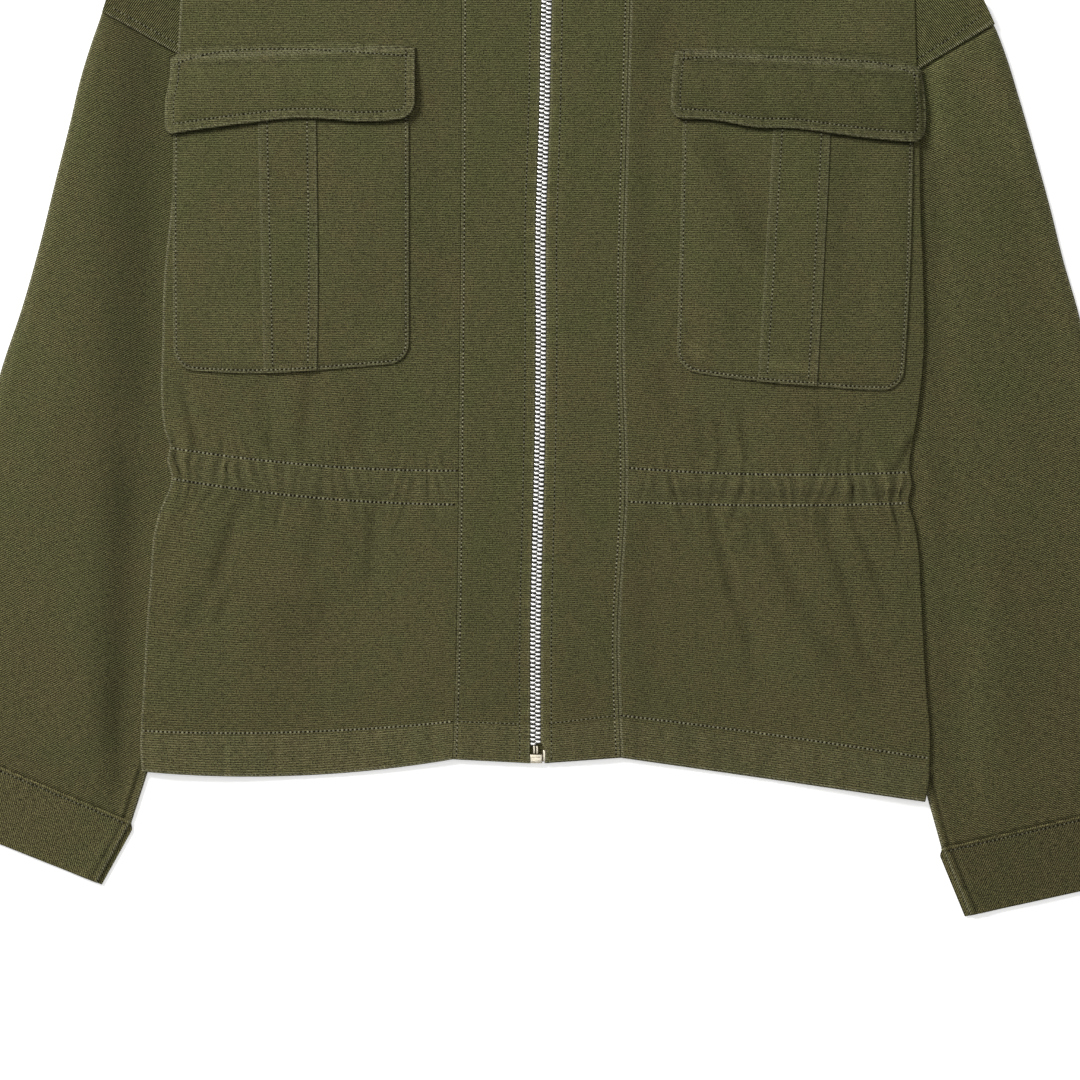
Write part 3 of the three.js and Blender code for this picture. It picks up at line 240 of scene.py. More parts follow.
# Creases of the back, seen from below
BACK_CREASES = (
    (-200, 180, -120, 60, 16, 0.5),
    (190, 170, 110, 50, 16, 0.5),
    (-60, 250, -30, 120, 18, 0.35),
    (80, 240, 40, 110, 18, 0.35),
    (-210, -110, -230, -190, 9, 0.6),
    (-120, -112, -130, -200, 12, 0.5),
    (-20, -112, -10, -190, 13, 0.4),
    (90, -112, 104, -185, 11, 0.5),
    (196, -112, 216, -180, 9, 0.6),
    (-150, -30, -140, -72, 10, 0.4),
    (60, -30, 66, -74, 10, 0.4),
    (170, -30, 160, -76, 10, 0.45),
)

# Sleeves: the outer edge, and the ends of the inner edge and of the armhole seam under the body
SLEEVE_EDGE = {
    "right": (
        (-282, 218), (-284, 211), (-289.3, 196), (-297, 171.5), (-304, 142), (-313.3, 105), (-324.4, 60),
        (-336.4, 18), (-347, -13), (-363.5, -72), (-380, -131), (-397, -191), (-408, -231), (-413.4, -250.3),
    ),
    "left": (
        (294, 212), (298.5, 203), (304.2, 188.5), (314.6, 155.5), (325, 119.5), (334.1, 86.5), (342.6, 52.5),
        (353, 16.3), (361.5, -22), (376.5, -90), (391.5, -158), (406, -224), (416.5, -271), (421.5, -293.8),
    ),
}
SLEEVE_HEAD = {"right": (-121.6, 128), "left": (139.8, 116)}
SLEEVE_WRIST = {"right": (-263.9, -313.3), "left": (263.3, -330.5)}
ARMHOLE_OUTER = {"right": (-282.8, 213.2), "left": (297.7, 205.4)}
ARMHOLE_INNER = {"right": (-121.6, 123.5), "left": (139.8, 111.8)}
# Folds along the sleeves: two ends, half width and height
SLEEVE_FOLDS = {
    "right": (
        (-272, -228, -269, -296, 7, -0.9),
        (-284, -215, -283, -290, 9, 0.7),
        (-262, -268, -259, -300, 5, 0.6),
        (-262, 120, -276, -120, 16, -0.8),
        (-296, 90, -318, -80, 18, 0.5),
        (-300, -60, -322, -210, 22, -0.5),
        (-340, -90, -368, -230, 18, 0.5),
        (-352, -160, -360, -250, 14, -0.4),
    ),
    "left": (
        (262, 150, 270, -40, 10, -0.6),
        (292, 170, 306, 20, 16, 0.5),
        (318, 60, 346, -110, 20, -0.5),
        (300, -90, 318, -250, 22, 0.5),
        (345, -120, 368, -260, 18, -0.5),
        (276, -200, 284, -312, 8, -0.7),
        (288, -210, 296, -315, 10, 0.6),
        (286, 205, 290, 180, 5, -0.6),
    ),
}
CUFF_SEAM = {
    "right": ((-413.4, -250.1), (-263.9, -313.1)),
    "left": ((421.5, -293.6), (263.3, -330.3)),
}
CUFF_EDGE = {
    "right": ((-432.3, -295.1), (-286.2, -353.3)),
    "left": ((432.6, -341.3), (281.5, -374.6)),
}
CUFF_HEIGHT, CUFF_PEEK, LEDGE = 3.4, 3.0, 1.3
CUFF_DEEP, CUFF_WIDE, CUFF_ROW, CUFF_ROUND = 48, 155, 3.0, 1.8
COLLAR_DEEP, COLLAR_ROW = 55, 6

# Rough widths of the pieces, which turn distances from an edge into shares across them
FRONT_WIDE, BAND_WIDE, BACK_WIDE, SLEEVE_WIDE, WRIST_WIDE = 190, 52, 510, 190, 160
SHOULDER_WIDE, SHOULDER_DEEP, SHOULDER_OUTER_DEEP, SHOULDER_ROW = 55, 60, 8, 5.8

# Chest pockets, pleat strips and flaps. Tops and bottoms are (place, height), sides are (height, place).
POCKETS = {
    "right": {
        "top": ((-240, 168), (-80, 178)),
        "bottom": ((-237, -19), (-222, -20.5), (-178, -22.1), (-142, -20.2), (-119.6, -18.2), (-82, -15)),
        "outside": ((168, -236), (80, -236.8), (-20, -236.2)),
        "inside": ((178, -83), (-16, -82.9)),
        "corners": (13, 13),
    },
    "left": {
        "top": ((92, 174), (246, 162)),
        "bottom": ((90, -19), (106, -22.1), (143, -27.3), (182, -30.6), (223, -33.2), (238, -33)),
        "outside": ((165, 244.6), (125, 244.4), (86, 243.8), (-13, 239.2), (-33, 237.6)),
        "inside": ((172, 95.2), (140, 94.5), (26, 91.7), (-21, 90.2)),
        "corners": (13, 13),
    },
}
PLEATS = {
    "right": {
        **POCKETS["right"],
        "outside": ((170, -182), (-22, -177.5)),
        "inside": ((170, -143.4), (6, -142), (-21, -142.5)),
        "corners": (0, 0),
    },
    "left": {
        **POCKETS["left"],
        "outside": ((168, 192), (101, 189.2), (57, 186.9), (-31, 182)),
        "inside": ((168, 155), (-28, 143)),
        "corners": (0, 0),
    },
}
FLAPS = {
    "right": {
        "top": (
            (-242, 181), (-226.9, 187.5), (-210.6, 191.8), (-193.7, 193.7), (-146.3, 194.4),
            (-102.7, 191.8), (-78, 190),
        ),
        "bottom": (
            (-242, 132.4), (-208.7, 137.2), (-183.3, 140.4), (-158.6, 143), (-142.4, 143), (-115, 141),
            (-96.2, 141.7), (-78, 144),
        ),
        "outside": ((182, -238.2), (170, -238.6), (158, -241.2), (133, -241.8)),
        "inside": ((190, -79), (144, -79)),
        "corners": (6.5, 10),
    },
    "left": {
        "top": (
            (86, 187.6), (99.5, 189.2), (141.7, 189.8), (178.8, 189.2), (203.5, 187.2), (222.3, 185.3),
            (238.6, 180.7), (253, 173.5),
        ),
        "bottom": (
            (86, 143.4), (116.4, 141.7), (141.7, 137.2), (166.4, 136.5), (191.1, 133.3), (216.5, 130),
            (253, 126.8),
        ),
        "outside": ((175, 250.4), (148, 252.9), (127, 252.2)),
        "inside": ((188, 89.7), (166, 87.1), (143, 86.5)),
        "corners": (10, 8),
    },
}
FLAP_CLIMB = ((0, 0), (0.06, 0.15), (0.33, 1.9), (0.5, 2.8), (1, 3.0))
FLAP_ROW, POCKET_ROW, PLEAT_ROW = 6.2, 2.3, 6.2
STITCH, STITCH_TWIST = 2.8, 0.22

# Olive drab: a greener and a browner shade of the same dye, and the greyish shade of worn edges
GREEN = (0.0612, 0.0625, 0.0250, 1)
BROWN = (0.0692, 0.0615, 0.0268, 1)
WORN = (0.135, 0.128, 0.078, 1)
RIB_PITCH, TWILL_PITCH, CUFF_PITCH, TAPE_PITCH = 1.43, 1.22, 1.27, 1.1

# Light, in watts but for the world's, and the camera's lens, sensor and what it shows of the layout
WORLD_LIGHT, KEY_POWER, OVERHEAD_POWER = 0.2, 170, 30
LENS, SENSOR, SHOWN = 100, 36, 702
CAMERA_AT = (0.0018, -0.1284)


# Sums on tables and shapes

def mix(a, b, share):
    return a + (b - a) * share


def near(distance, reach):
    """1 where a distance is none, falling softly to nothing at about twice the reach."""
    return np.exp(-((distance / reach) ** 2))


def smooth(share):
    s = np.clip(share, 0, 1)
    return s * s * (3 - 2 * s)


def read(table, at):
    """Value of a table of (place, value) rows at any places, on a smooth curve with straight ends."""
    rows = np.array(sorted(table), float)
    places, values = rows[:, 0], rows[:, 1]
    if len(rows) > 2:
        slopes = np.gradient(values, places)
    else:
        slopes = np.full(2, np.diff(values)[0] / np.diff(places)[0])
    at = np.asarray(at, float)
    k = np.clip(np.searchsorted(places, at) - 1, 0, len(places) - 2)
    step = places[k + 1] - places[k]
    s = np.clip((at - places[k]) / step, 0, 1)
    curve = (2 * s**3 - 3 * s**2 + 1) * values[k] + (3 * s**2 - 2 * s**3) * values[k + 1]
    curve = curve + step * ((s**3 - 2 * s**2 + s) * slopes[k] + (s**3 - s**2) * slopes[k + 1])
    curve = curve + np.minimum(at - places[0], 0) * slopes[0]
    return curve + np.maximum(at - places[-1], 0) * slopes[-1]


def wave(t, seed):
    """An uneven ripple between about -1 and 1, with a spacing of about 1."""
    t = np.asarray(t, float)
    turn = 2 * math.pi
    return (
        0.55 * np.sin(turn * t + seed)
        + 0.3 * np.sin(turn * 0.62 * t + 2.3 * seed + 1)
        + 0.25 * np.sin(turn * 1.37 * t + 1.7 * seed + 2)
    )


def ridge(creases, x, y):
    """Height of soft creases, each with two ends, a half width and a height, at x, y."""
    total = np.zeros_like(x)
    for x0, y0, x1, y1, width, height in creases:
        length = math.hypot(x1 - x0, y1 - y0)
        along = ((x - x0) * (x1 - x0) + (y - y0) * (y1 - y0)) / length**2
        across = ((x - x0) * (y1 - y0) - (y - y0) * (x1 - x0)) / length
        ends = smooth((along + 0.25) / 0.4) * smooth((1.3 - along) / 0.45)
        total = total + height * ends * near(across, width)
    return total


def rounding(distance, radius):
    """How far a rounded edge drops at a distance from it."""
    inside = np.clip(radius - distance, 0, radius)
    return radius - np.sqrt(radius**2 - inside**2)


def with_edge_steps(shares, width, start=True, end=True):
    """Adds the narrow steps that a rounded edge needs to shares across a width."""
    close = np.array((0.15, 0.4, 0.8, 1.3)) / width
    extra = [shares]
    if start:
        extra.append(close)
    if end:
        extra.append(1 - close)
    return np.unique(np.round(np.concatenate(extra), 6))


def place(points):
    """Layout millimetres to metres in the frame."""
    moved = np.array(points, float)
    moved[..., 0] -= LAYOUT[0]
    moved[..., 1] -= LAYOUT[1]
    return moved * MM


def length_along(path):
    steps = np.linalg.norm(np.diff(path, axis=0), axis=1)
    return np.concatenate(([0], np.cumsum(steps)))


def left_to_right(side, *grids):
    """Grids whose columns run in from a side's edge, with their columns in the order from -X to +X."""
    return grids if side == "right" else tuple(grid[:, ::-1] for grid in grids)


def stacked(*values):
    """Points, or pairs, from their numbers along each axis."""
    return np.stack(np.broadcast_arrays(*values), -1).astype(float)


# Closed cloth shells

# What each cloth piece's mesh says of its points, with the value where a piece says nothing: the distance
# from the edge in millimetres, how much of a puckered border it is, and how much lighter the cloth is
# painted, for paler dye and for painted shade and highlights
MARKS = {"edge": 30, "border": 0, "fade": 0}


def grid_faces(rows, columns, start, wrap, turned):
    r = np.arange(rows - 1)[:, None]
    c = np.arange(columns if wrap else columns - 1)[None, :]
    after = (c + 1) % columns
    corners = (r * columns + c, (r + 1) * columns + c, (r + 1) * columns + after, r * columns + after)
    faces = start + np.stack(corners, -1).reshape(-1, 4)
    return faces[:, ::-1] if turned else faces


def rim_faces(first, second):
    """Triangles that join two rows of points running side by side, spread evenly by their number."""
    faces = []
    i = j = 0
    while i < len(first) - 1 or j < len(second) - 1:
        reach_first = (i + 1) / (len(first) - 1) if i < len(first) - 1 else 2
        reach_second = (j + 1) / (len(second) - 1) if j < len(second) - 1 else 2
        if reach_first <= reach_second:
            faces.append((first[i], second[j], first[i + 1]))
            i += 1
        else:
            faces.append((first[i], second[j], second[j + 1]))
            j += 1
    return faces


def shell(name, outer, inner, outer_uv, inner_uv, wrap=False, marks=None, around=0.0):
    """A closed piece of cloth between an outer and an inner grid of points with the same number of rows."""
    rows, columns = outer.shape[:2]
    inner_columns = inner.shape[1]
    start = rows * columns
    points = np.concatenate([outer.reshape(-1, 3), inner.reshape(-1, 3)])
    flat = np.concatenate([outer_uv.reshape(-1, 2), inner_uv.reshape(-1, 2)])
    quads = np.concatenate([
        grid_faces(rows, columns, 0, wrap, False),
        grid_faces(rows, inner_columns, start, wrap, True),
    ])
    extra = []
    for row, turned in ((0, True), (rows - 1, False)):
        first = [row * columns + k for k in range(columns)]
        second = [start + row * inner_columns + k for k in range(inner_columns)]
        if wrap:
            first.append(first[0])
            second.append(second[0])
        for face in rim_faces(first, second):
            extra.append(face[::-1] if turned else face)
    if not wrap:
        for row in range(rows - 1):
            for column, inner_column, turned in ((0, 0, True), (columns - 1, inner_columns - 1, False)):
                u0, u1 = row * columns + column, (row + 1) * columns + column
                l0 = start + row * inner_columns + inner_column
                l1 = l0 + inner_columns
                face = (u0, u1, l1, l0)
                extra.append(face[::-1] if turned else face)
    faces = [tuple(face) for face in quads.tolist()] + extra
    mesh = bpy.data.meshes.new(name)
    mesh.from_pydata(place(points).tolist(), [], faces)
    corners = np.empty(len(mesh.loops), int)
    mesh.loops.foreach_get("vertex_index", corners)
    loop_uv = flat[corners]
    if wrap:
        # The last column's faces go on past the end of the cloth and not back to its start
        quad_uv = loop_uv[: len(quads) * 4].reshape(-1, 4, 2)
        spread = quad_uv[:, :, 0].max(axis=1) - quad_uv[:, :, 0].min(axis=1)
        torn = spread > around / 2
        low = quad_uv[:, :, 0] < quad_uv[:, :, 0].mean(axis=1, keepdims=True)
        quad_uv[:, :, 0] += np.where(torn[:, None] & low, around, 0)
    layer = mesh.uv_layers.new(name="cloth")
    layer.data.foreach_set("uv", (loop_uv * MM).ravel())
    for key, away in MARKS.items():
        values = np.full(len(points), away, float)
        if marks and key in marks:
            values[:start] = np.broadcast_to(marks[key], (rows, columns)).ravel()
        mesh.attributes.new(key, "FLOAT", "POINT").data.foreach_set("value", values)
    piece = bpy.data.objects.new(name, mesh)
    bpy.context.scene.collection.objects.link(piece)
    if signed_volume(mesh) < 0:
        mesh.flip_normals()
    finish_smooth(piece, 60)
    return piece


def signed_volume(mesh):
    mesh.calc_loop_triangles()
    places = np.empty(len(mesh.vertices) * 3)
    mesh.vertices.foreach_get("co", places)
    corners = np.empty(len(mesh.loop_triangles) * 3, int)
    mesh.loop_triangles.foreach_get("vertices", corners)
    a, b, c = places.reshape(-1, 3)[corners.reshape(-1, 3)].transpose(1, 0, 2)
    return float(np.einsum("ij,ij->i", a, np.cross(b, c)).sum())


def pick_only(piece):
    bpy.ops.object.select_all(action="DESELECT")
    piece.select_set(True)
    bpy.context.view_layer.objects.active = piece


def round_edges(bevel, segments):
    """Rounds all edges of the object that is active."""
    bpy.ops.object.mode_set(mode="EDIT")
    bpy.ops.mesh.select_all(action="SELECT")
    bpy.ops.mesh.bevel(offset=bevel * MM, segments=segments, affect="EDGES")
    bpy.ops.object.mode_set(mode="OBJECT")


def finish_smooth(piece, angle):
    pick_only(piece)
    bpy.ops.object.shade_smooth_by_angle(angle=math.radians(angle))


def sew_on(piece, node, finish):
    """Gives a cloth piece its finish and its body, and hides the node that it stands for."""
    piece.data.materials.append(finish)
    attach(piece, BODY)
    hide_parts(node)
    return piece


def lay_piece(kind, side, finish, rests_on, top, under, **marks):
    """A flat piece of one side from its top and its underside, each with its places x, y and z and the height
    of its cloth along the grain."""
    grids = []
    for x, y, z, grain in (top, under):
        grids.extend(left_to_right(side, stacked(x, y, z), stacked(x, grain)))
    outer, outer_uv, inner, inner_uv = grids
    marks = {key: left_to_right(side, value)[0] for key, value in marks.items()}
    piece = shell(f"{kind}_{side}_cloth", outer, inner, outer_uv, inner_uv, marks=marks)
    return sew_on(piece, f"{kind}_{side}", finish)


# Heights of the layers

def distance_from(first, second, x, y):
    dx, dy = second[0] - first[0], second[1] - first[1]
    return ((x - first[0]) * dy - (y - first[1]) * dx) / math.hypot(dx, dy)


def body_lift(x, y):
    """Height of the body's underside: up over the hidden sleeves, and down on the floor between them."""
    lift = np.zeros_like(x)
    for side in SIDES:
        inward = -OUTWARD[side]
        past_inner = inward * distance_from(SLEEVE_WRIST[side], ARMHOLE_INNER[side], x, y)
        past_head = inward * distance_from(ARMHOLE_INNER[side], ARMHOLE_OUTER[side], x, y)
        past = np.hypot(np.maximum(0, past_inner), np.maximum(0, past_head))
        lift = np.maximum(lift, BODY_OVER_SLEEVE * (1 - smooth((past - LIFT_MARGIN) / LIFT_RAMP)))
    return lift


def neckline(x, inset=0.0):
    across = (x - NECK_X) / (NECK_HALF - inset)
    return NECK_Y - (NECK_FRONT - inset) * np.sqrt(np.maximum(0, 1 - across**2))


def back_neckline(x):
    return NECK_Y - NECK_BACK * (1 - ((x - NECK_X) / NECK_HALF) ** 2)


def shoulder_line(side, x):
    end_x, end_y = SHOULDER_END[side]
    neck_x = NECK_X + OUTWARD[side] * NECK_HALF
    return mix(end_y, NECK_Y, (x - end_x) / (neck_x - end_x))


def front_low(side, x, y):
    from_seam = np.abs(x - read(BAND_SEAM[side], y))
    from_side = np.abs(x - read(SIDE_EDGE[side], y))
    field = mix(SEAM_GAP, FIELD_SPACE, smooth(from_side / 15))
    beside_zip = mix(ZIP_SPACE, field, smooth(from_seam / 70))
    shoulder_y = ARMHOLE_OUTER[side][1]
    at_shoulder = smooth((y - shoulder_y + 75) / 35) * (1 - smooth((from_side - 12) / 60))
    return body_lift(x, y) + CLOTH + mix(beside_zip, ZIP_SPACE, at_shoulder)


def sway(x, y):
    """The slow rise and fall of cloth that was smoothed out by hand."""
    slow = 1 + wave(x / 83 + y / 310, 1.3) * wave(y / 121 - x / 400, 0.4)
    return 0.3 * slow + 0.12 * wave(x / 47 - y / 90, 2.2)


def front_field(side, x, y):
    """Top of a front without its gathers, which the pockets and flaps lie on."""
    from_side = np.abs(x - read(SIDE_EDGE[side], y))
    soft = smooth(from_side / 18) * sway(x, y)
    return front_low(side, x, y) + FRONT_CLOTH + soft + ridge(CREASES[side], x, y)


# The body's rows

def body_levels(step):
    """Line numbers of rows about a step apart, with narrow ones at the hem's rounded edge."""
    levels = []
    for line in range(len(BODY_LINES) - 1):
        count = math.ceil(abs(BODY_LINES[line + 1] - BODY_LINES[line])[:5].max() / step)
        levels.extend(line + np.arange(count) / count)
    levels.extend(EDGE_LINE - np.array((1.3, 0.8, 0.4, 0.15, 0)) / 25)
    return np.unique(np.round(levels, 5))


def line_values(levels):
    numbers = np.arange(len(BODY_LINES))
    return {key: np.interp(levels, numbers, BODY_LINES[:, k]) for k, key in enumerate(LINE_COLUMNS)}


def front_point(side, levels, shares):
    """Places on a front at line numbers and shares from its side edge to the band's seam."""
    row = line_values(levels)
    top = line_values(0.0)
    side_y, seam_y = row[f"{side}_side"], row[f"{side}_seam"]
    outward = OUTWARD[side]
    side_x = read(SIDE_EDGE[side], side_y)
    seam_x = read(BAND_SEAM[side], seam_y) + outward * SEAM_AT
    top_side_x = read(SIDE_EDGE[side], top[f"{side}_side"])
    top_seam_x = read(BAND_SEAM[side], top[f"{side}_seam"]) + outward * SEAM_AT
    top_x = mix(top_side_x, top_seam_x, shares)
    in_neck = np.abs(top_x - NECK_X) < NECK_HALF
    crest_y = np.where(in_neck, neckline(top_x), shoulder_line(side, top_x))
    chord_y = mix(top[f"{side}_side"], top[f"{side}_seam"], shares)
    x = mix(side_x, seam_x, shares)
    y = mix(side_y, seam_y, shares) + row[f"{side}_bow"] * 4 * shares * (1 - shares)
    y = y + row["crest"] * (crest_y - chord_y)
    return x, y, np.where(levels < 1, y, (side_y + seam_y) / 2)


def line_middle(side, line):
    """Mean height of one of the body's lines on a front."""
    columns = (0, 1) if side == "right" else (3, 4)
    return np.mean([BODY_LINES[line][column] for column in columns])


def row_depth(cloth_y, line, side, reach):
    """How close a place is to a row of stitches on the fronts, from 0 to 1."""
    return near(cloth_y - line_middle(side, line), reach)


def gather_reach(from_middle):
    """Share of the gathers' height at a distance above the middle of the waist channel."""
    return np.interp(-from_middle, [-row[0] for row in GATHER_REACH], [row[1] for row in GATHER_REACH])


def gathers(side, shares, cloth_y):
    """The waist's gathers: uneven pleats, closest and highest near the side."""
    from_middle = cloth_y - (line_middle(side, CASING_TOP_LINE) + line_middle(side, CASING_LOW_LINE)) / 2
    reach = gather_reach(from_middle)
    lean = shares * FRONT_WIDE + 0.34 * from_middle * np.sin(shares * 19 + 2)
    ripple = wave(lean / GATHER_STEP[side], 0.7 if side == "right" else 2.9)
    fine = 0.45 * wave(lean / 4.1, 1.9)
    near_side = 0.62 + 0.5 * smooth((0.5 - shares) / 0.45)
    faded = smooth((0.985 - shares) / 0.05) * smooth((shares + 0.01) / 0.04)
    patchy = 0.75 + 0.3 * wave(shares * 5.3, 0.3)
    height = 1.2 * reach * near_side * faded * patchy
    return height * (ripple + 1.3 * fine * near(from_middle, 14))


def hem_height(side):
    """Height of a side's hem edge along the grain of its cloth."""
    edge_y = line_values(float(EDGE_LINE))
    return (edge_y[f"{side}_side"] + edge_y[f"{side}_seam"]) / 2


def hem_roll(cloth_y, hem_y, along):
    """The turned-up hem: a groove at its stitches and slanted pulls between them and the edge."""
    above_edge = cloth_y - hem_y
    groove = -0.28 * near(above_edge - HEM_TURN + 0.5, 1.5)
    inside = smooth((HEM_TURN + 1 - above_edge) / 3)
    return groove + inside * (0.35 + 0.13 * wave((along + 0.5 * above_edge) / 13, 0.9))


def front_height(side, x, y, shares, cloth_y):
    """Top of a front with all its relief."""
    hem_y = hem_height(side)
    width = np.abs(read(BAND_SEAM[side], y) - read(SIDE_EDGE[side], y))
    from_side = shares * width
    from_seam = (1 - shares) * width
    height = front_field(side, x, y) + gathers(side, shares, cloth_y) + hem_roll(cloth_y, hem_y, x)
    for line in (CASING_TOP_LINE, CASING_LOW_LINE):
        height = height - 0.45 * row_depth(cloth_y, line, side, 1.8)
    height = height + 0.12 * near(from_seam, 4) * wave(y / 7.4, 0.2)
    height = height - rounding(from_side, EDGE_ROUND) - 0.5 * rounding(from_seam, SEAM_ROUND)
    return height - rounding(np.maximum(cloth_y - hem_y, 0), EDGE_ROUND)


def hem_fade(hem, x, side):
    """How much paler the dye is in uneven stripes across the hem."""
    base = 0.11 if side == "right" else 0.05
    return hem * (base + 0.08 * wave(x / 17, 0.4) + 0.08 * wave(x / 5.6, 1.3))


def front_shares(side):
    """Shares across a front: even up to the neck point, then by angle round the neckline."""
    outward = OUTWARD[side]
    top = line_values(0.0)
    side_x = float(read(SIDE_EDGE[side], top[f"{side}_side"]))
    seam_x = float(read(BAND_SEAM[side], top[f"{side}_seam"])) + outward * SEAM_AT
    seam_angle = math.acos(abs(seam_x - NECK_X) / NECK_HALF)
    neck_share = (NECK_X + outward * NECK_HALF - side_x) / (seam_x - side_x)
    angles = np.linspace(0, seam_angle, 18)
    round_neck = (NECK_X + outward * NECK_HALF * np.cos(angles) - side_x) / (seam_x - side_x)
    shares = np.concatenate([np.linspace(0, neck_share, 104), round_neck[1:-1], [1]])
    return with_edge_steps(shares, FRONT_WIDE)


def make_front(side, finish):
    levels = body_levels(ROW_STEP)[:, None]
    shares = front_shares(side)[None, :]
    x, y, cloth_y = front_point(side, levels, shares)
    z = front_height(side, x, y, shares, cloth_y)
    hem_y = hem_height(side)
    width = np.abs(read(BAND_SEAM[side], y) - read(SIDE_EDGE[side], y))
    from_side = (shares if side == "right" else 1 - shares) * width
    edge = np.minimum(from_side, cloth_y - hem_y)
    hem = smooth((HEM_TURN - (cloth_y - hem_y)) / 2) + 0 * x
    casing = 0.5 * near(cloth_y - CASING_MIDDLE[side], 11) + 0 * x
    border = np.maximum(hem * 0.8, casing)
    # Painted shade in the creases and the gathers' hollows and painted highlights on their ridges, then the
    # painted shading streaks and the paler hem
    fade = 0.11 * ridge(CREASES[side], x, y) + 0.33 * gathers(side, shares, cloth_y)
    fade = fade + ridge(FRONT_PAINTED_SHADING[side], x, y) + hem_fade(hem, x, side)
    under = np.concatenate([shares[:, ::11], shares[:, -1:]], axis=1)
    under = np.unique(under)[None, :]
    low_x, low_y, low_v = front_point(side, levels, under)
    low_z = front_low(side, low_x, low_y)
    top, under = (x, y, z, cloth_y), (low_x, low_y, low_z, low_v)
    return lay_piece("front", side, finish, ["back_cloth"], top, under, edge=edge, border=border, fade=fade)


def band_point(side, levels, shares):
    """Places on a front band at line numbers and shares from its seam to its folded edge at the zip."""
    outward = OUTWARD[side]
    row = line_values(levels)
    top = line_values(0.0)
    seam_y, zip_y = row[f"{side}_seam"], row["zip"]
    beside_box = 0.2 if side == "right" else 2.6
    clearance = CLOTH_EDGE + beside_box * smooth((ZIP_BOTTOM + 0.6 - zip_y) / 2)
    seam_x = read(BAND_SEAM[side], seam_y) + outward * BAND_EDGE_AT
    edge_x = read(ZIP_LINE, zip_y) + outward * clearance
    top_seam_x = read(BAND_SEAM[side], top[f"{side}_seam"]) + outward * BAND_EDGE_AT
    top_edge_x = read(ZIP_LINE, top["zip"]) + outward * CLOTH_EDGE
    crest_y = neckline(mix(top_seam_x, top_edge_x, shares))
    chord_y = mix(top[f"{side}_seam"], top["zip"], shares)
    x = mix(seam_x, edge_x, shares)
    y = mix(seam_y, zip_y, shares) + row["crest"] * (crest_y - chord_y)
    return x, y, np.where(levels < 1, y, (row[f"{side}_side"] + seam_y) / 2)


def band_height(side, x, y, shares, cloth_y):
    hem_y = hem_height(side)
    width = np.abs(read(BAND_SEAM[side], y) - read(ZIP_LINE, y)) - CLOTH_EDGE
    from_seam, from_edge = shares * width, (1 - shares) * width
    height = body_lift(x, y) + CLOTH + ZIP_SPACE + FRONT_CLOTH
    height = height + smooth(from_edge / 14) * sway(x, y) * smooth(from_seam / 10 + 0.35)
    height = height + 0.1 * near(from_seam, 4.5) * wave(y / 7.4, 1.2)
    height = height + 0.26 * near(from_edge - 3, 3.5) * wave(y / 6.3, 0.4)
    height = height - 0.25 * near(from_edge - ZIP_ROW + CLOTH_EDGE, 1.3)
    height = height + 0.3 * near(from_seam, 1.6) - 0.3 * near(from_seam - 2.7, 1.0)
    height = height + hem_roll(cloth_y, hem_y, x)
    height = height - rounding(from_seam, SEAM_ROUND) - rounding(from_edge, 1.2)
    return height - rounding(np.maximum(cloth_y - hem_y, 0), EDGE_ROUND)


def make_band(side, finish):
    levels = body_levels(ROW_STEP)[:, None]
    shares = with_edge_steps(np.linspace(0, 1, 36), BAND_WIDE)[None, :]
    x, y, cloth_y = band_point(side, levels, shares)
    z = band_height(side, x, y, shares, cloth_y)
    hem_y = hem_height(side)
    from_seam, from_edge = shares * BAND_WIDE, (1 - shares) * BAND_WIDE
    edge = np.minimum(np.minimum(from_seam, from_edge), cloth_y - hem_y)
    hem = smooth((HEM_TURN - (cloth_y - hem_y)) / 2) + 0 * x
    # Paler dye at the seam and at the folded edge by the zip, with painted highlights and shade on its
    # puckers, a little darker towards the hem, and a ripple of lighter and darker lower down
    margins = 0.4 * near(from_seam, 5) + 1.7 * near(from_edge, 8)
    fade = margins * (0.09 + 0.1 * wave(y / 11.5, 0.7) + 0.09 * wave(y / 5.2, 2.1)) + hem_fade(hem, x, side)
    fade = fade - 0.035 * smooth((-y - 120) / 60) * (1 - margins).clip(0, 1)
    fade = fade + 0.05 * wave(y / 7.5, 0.3) * near(y + 146, 9) * smooth(from_seam / 8)
    under = np.linspace(0, 1, 5)[None, :]
    low_x, low_y, low_v = band_point(side, levels, under)
    low_z = body_lift(low_x, low_y) + CLOTH + ZIP_SPACE
    top, under = (x, y, z, cloth_y), (low_x, low_y, low_z, low_v)
    rests_on = ["back_cloth", f"tape_{side}_cloth"]
    return lay_piece("band", side, finish, rests_on, top, under, edge=edge, border=hem * 0.8, fade=fade)


# The back

def back_side_x(side, y):
    outer, inner = ARMHOLE_OUTER[side], ARMHOLE_INNER[side]
    side_x = read(SIDE_EDGE[side], y)
    seam_x = mix(outer[0], inner[0], (y - outer[1]) / (inner[1] - outer[1]))
    end = SHOULDER_END[side]
    limit = mix(outer[0], end[0], np.clip((y - outer[1]) / (end[1] - outer[1]), 0, 1))
    if side == "right":
        return np.where(y <= inner[1], side_x, np.minimum(side_x, np.maximum(seam_x, limit)))
    return np.where(y <= inner[1], side_x, np.maximum(side_x, np.minimum(seam_x, limit)))


def line_height(row, x):
    """Height of a line across both fronts and bands at x."""
    heights = {}
    for side in SIDES:
        side_y, seam_y = row[f"{side}_side"], row[f"{side}_seam"]
        side_x, seam_x = read(SIDE_EDGE[side], side_y), read(BAND_SEAM[side], seam_y)
        share = (x - side_x) / (seam_x - side_x)
        on_front = mix(side_y, seam_y, share) + row[f"{side}_bow"] * 4 * share * (1 - share)
        zip_x = read(ZIP_LINE, row["zip"])
        on_band = mix(seam_y, row["zip"], (x - seam_x) / (zip_x - seam_x))
        heights[side] = np.where(share <= 1, on_front, on_band)
    return np.where(x < NECK_X, heights["right"], heights["left"])


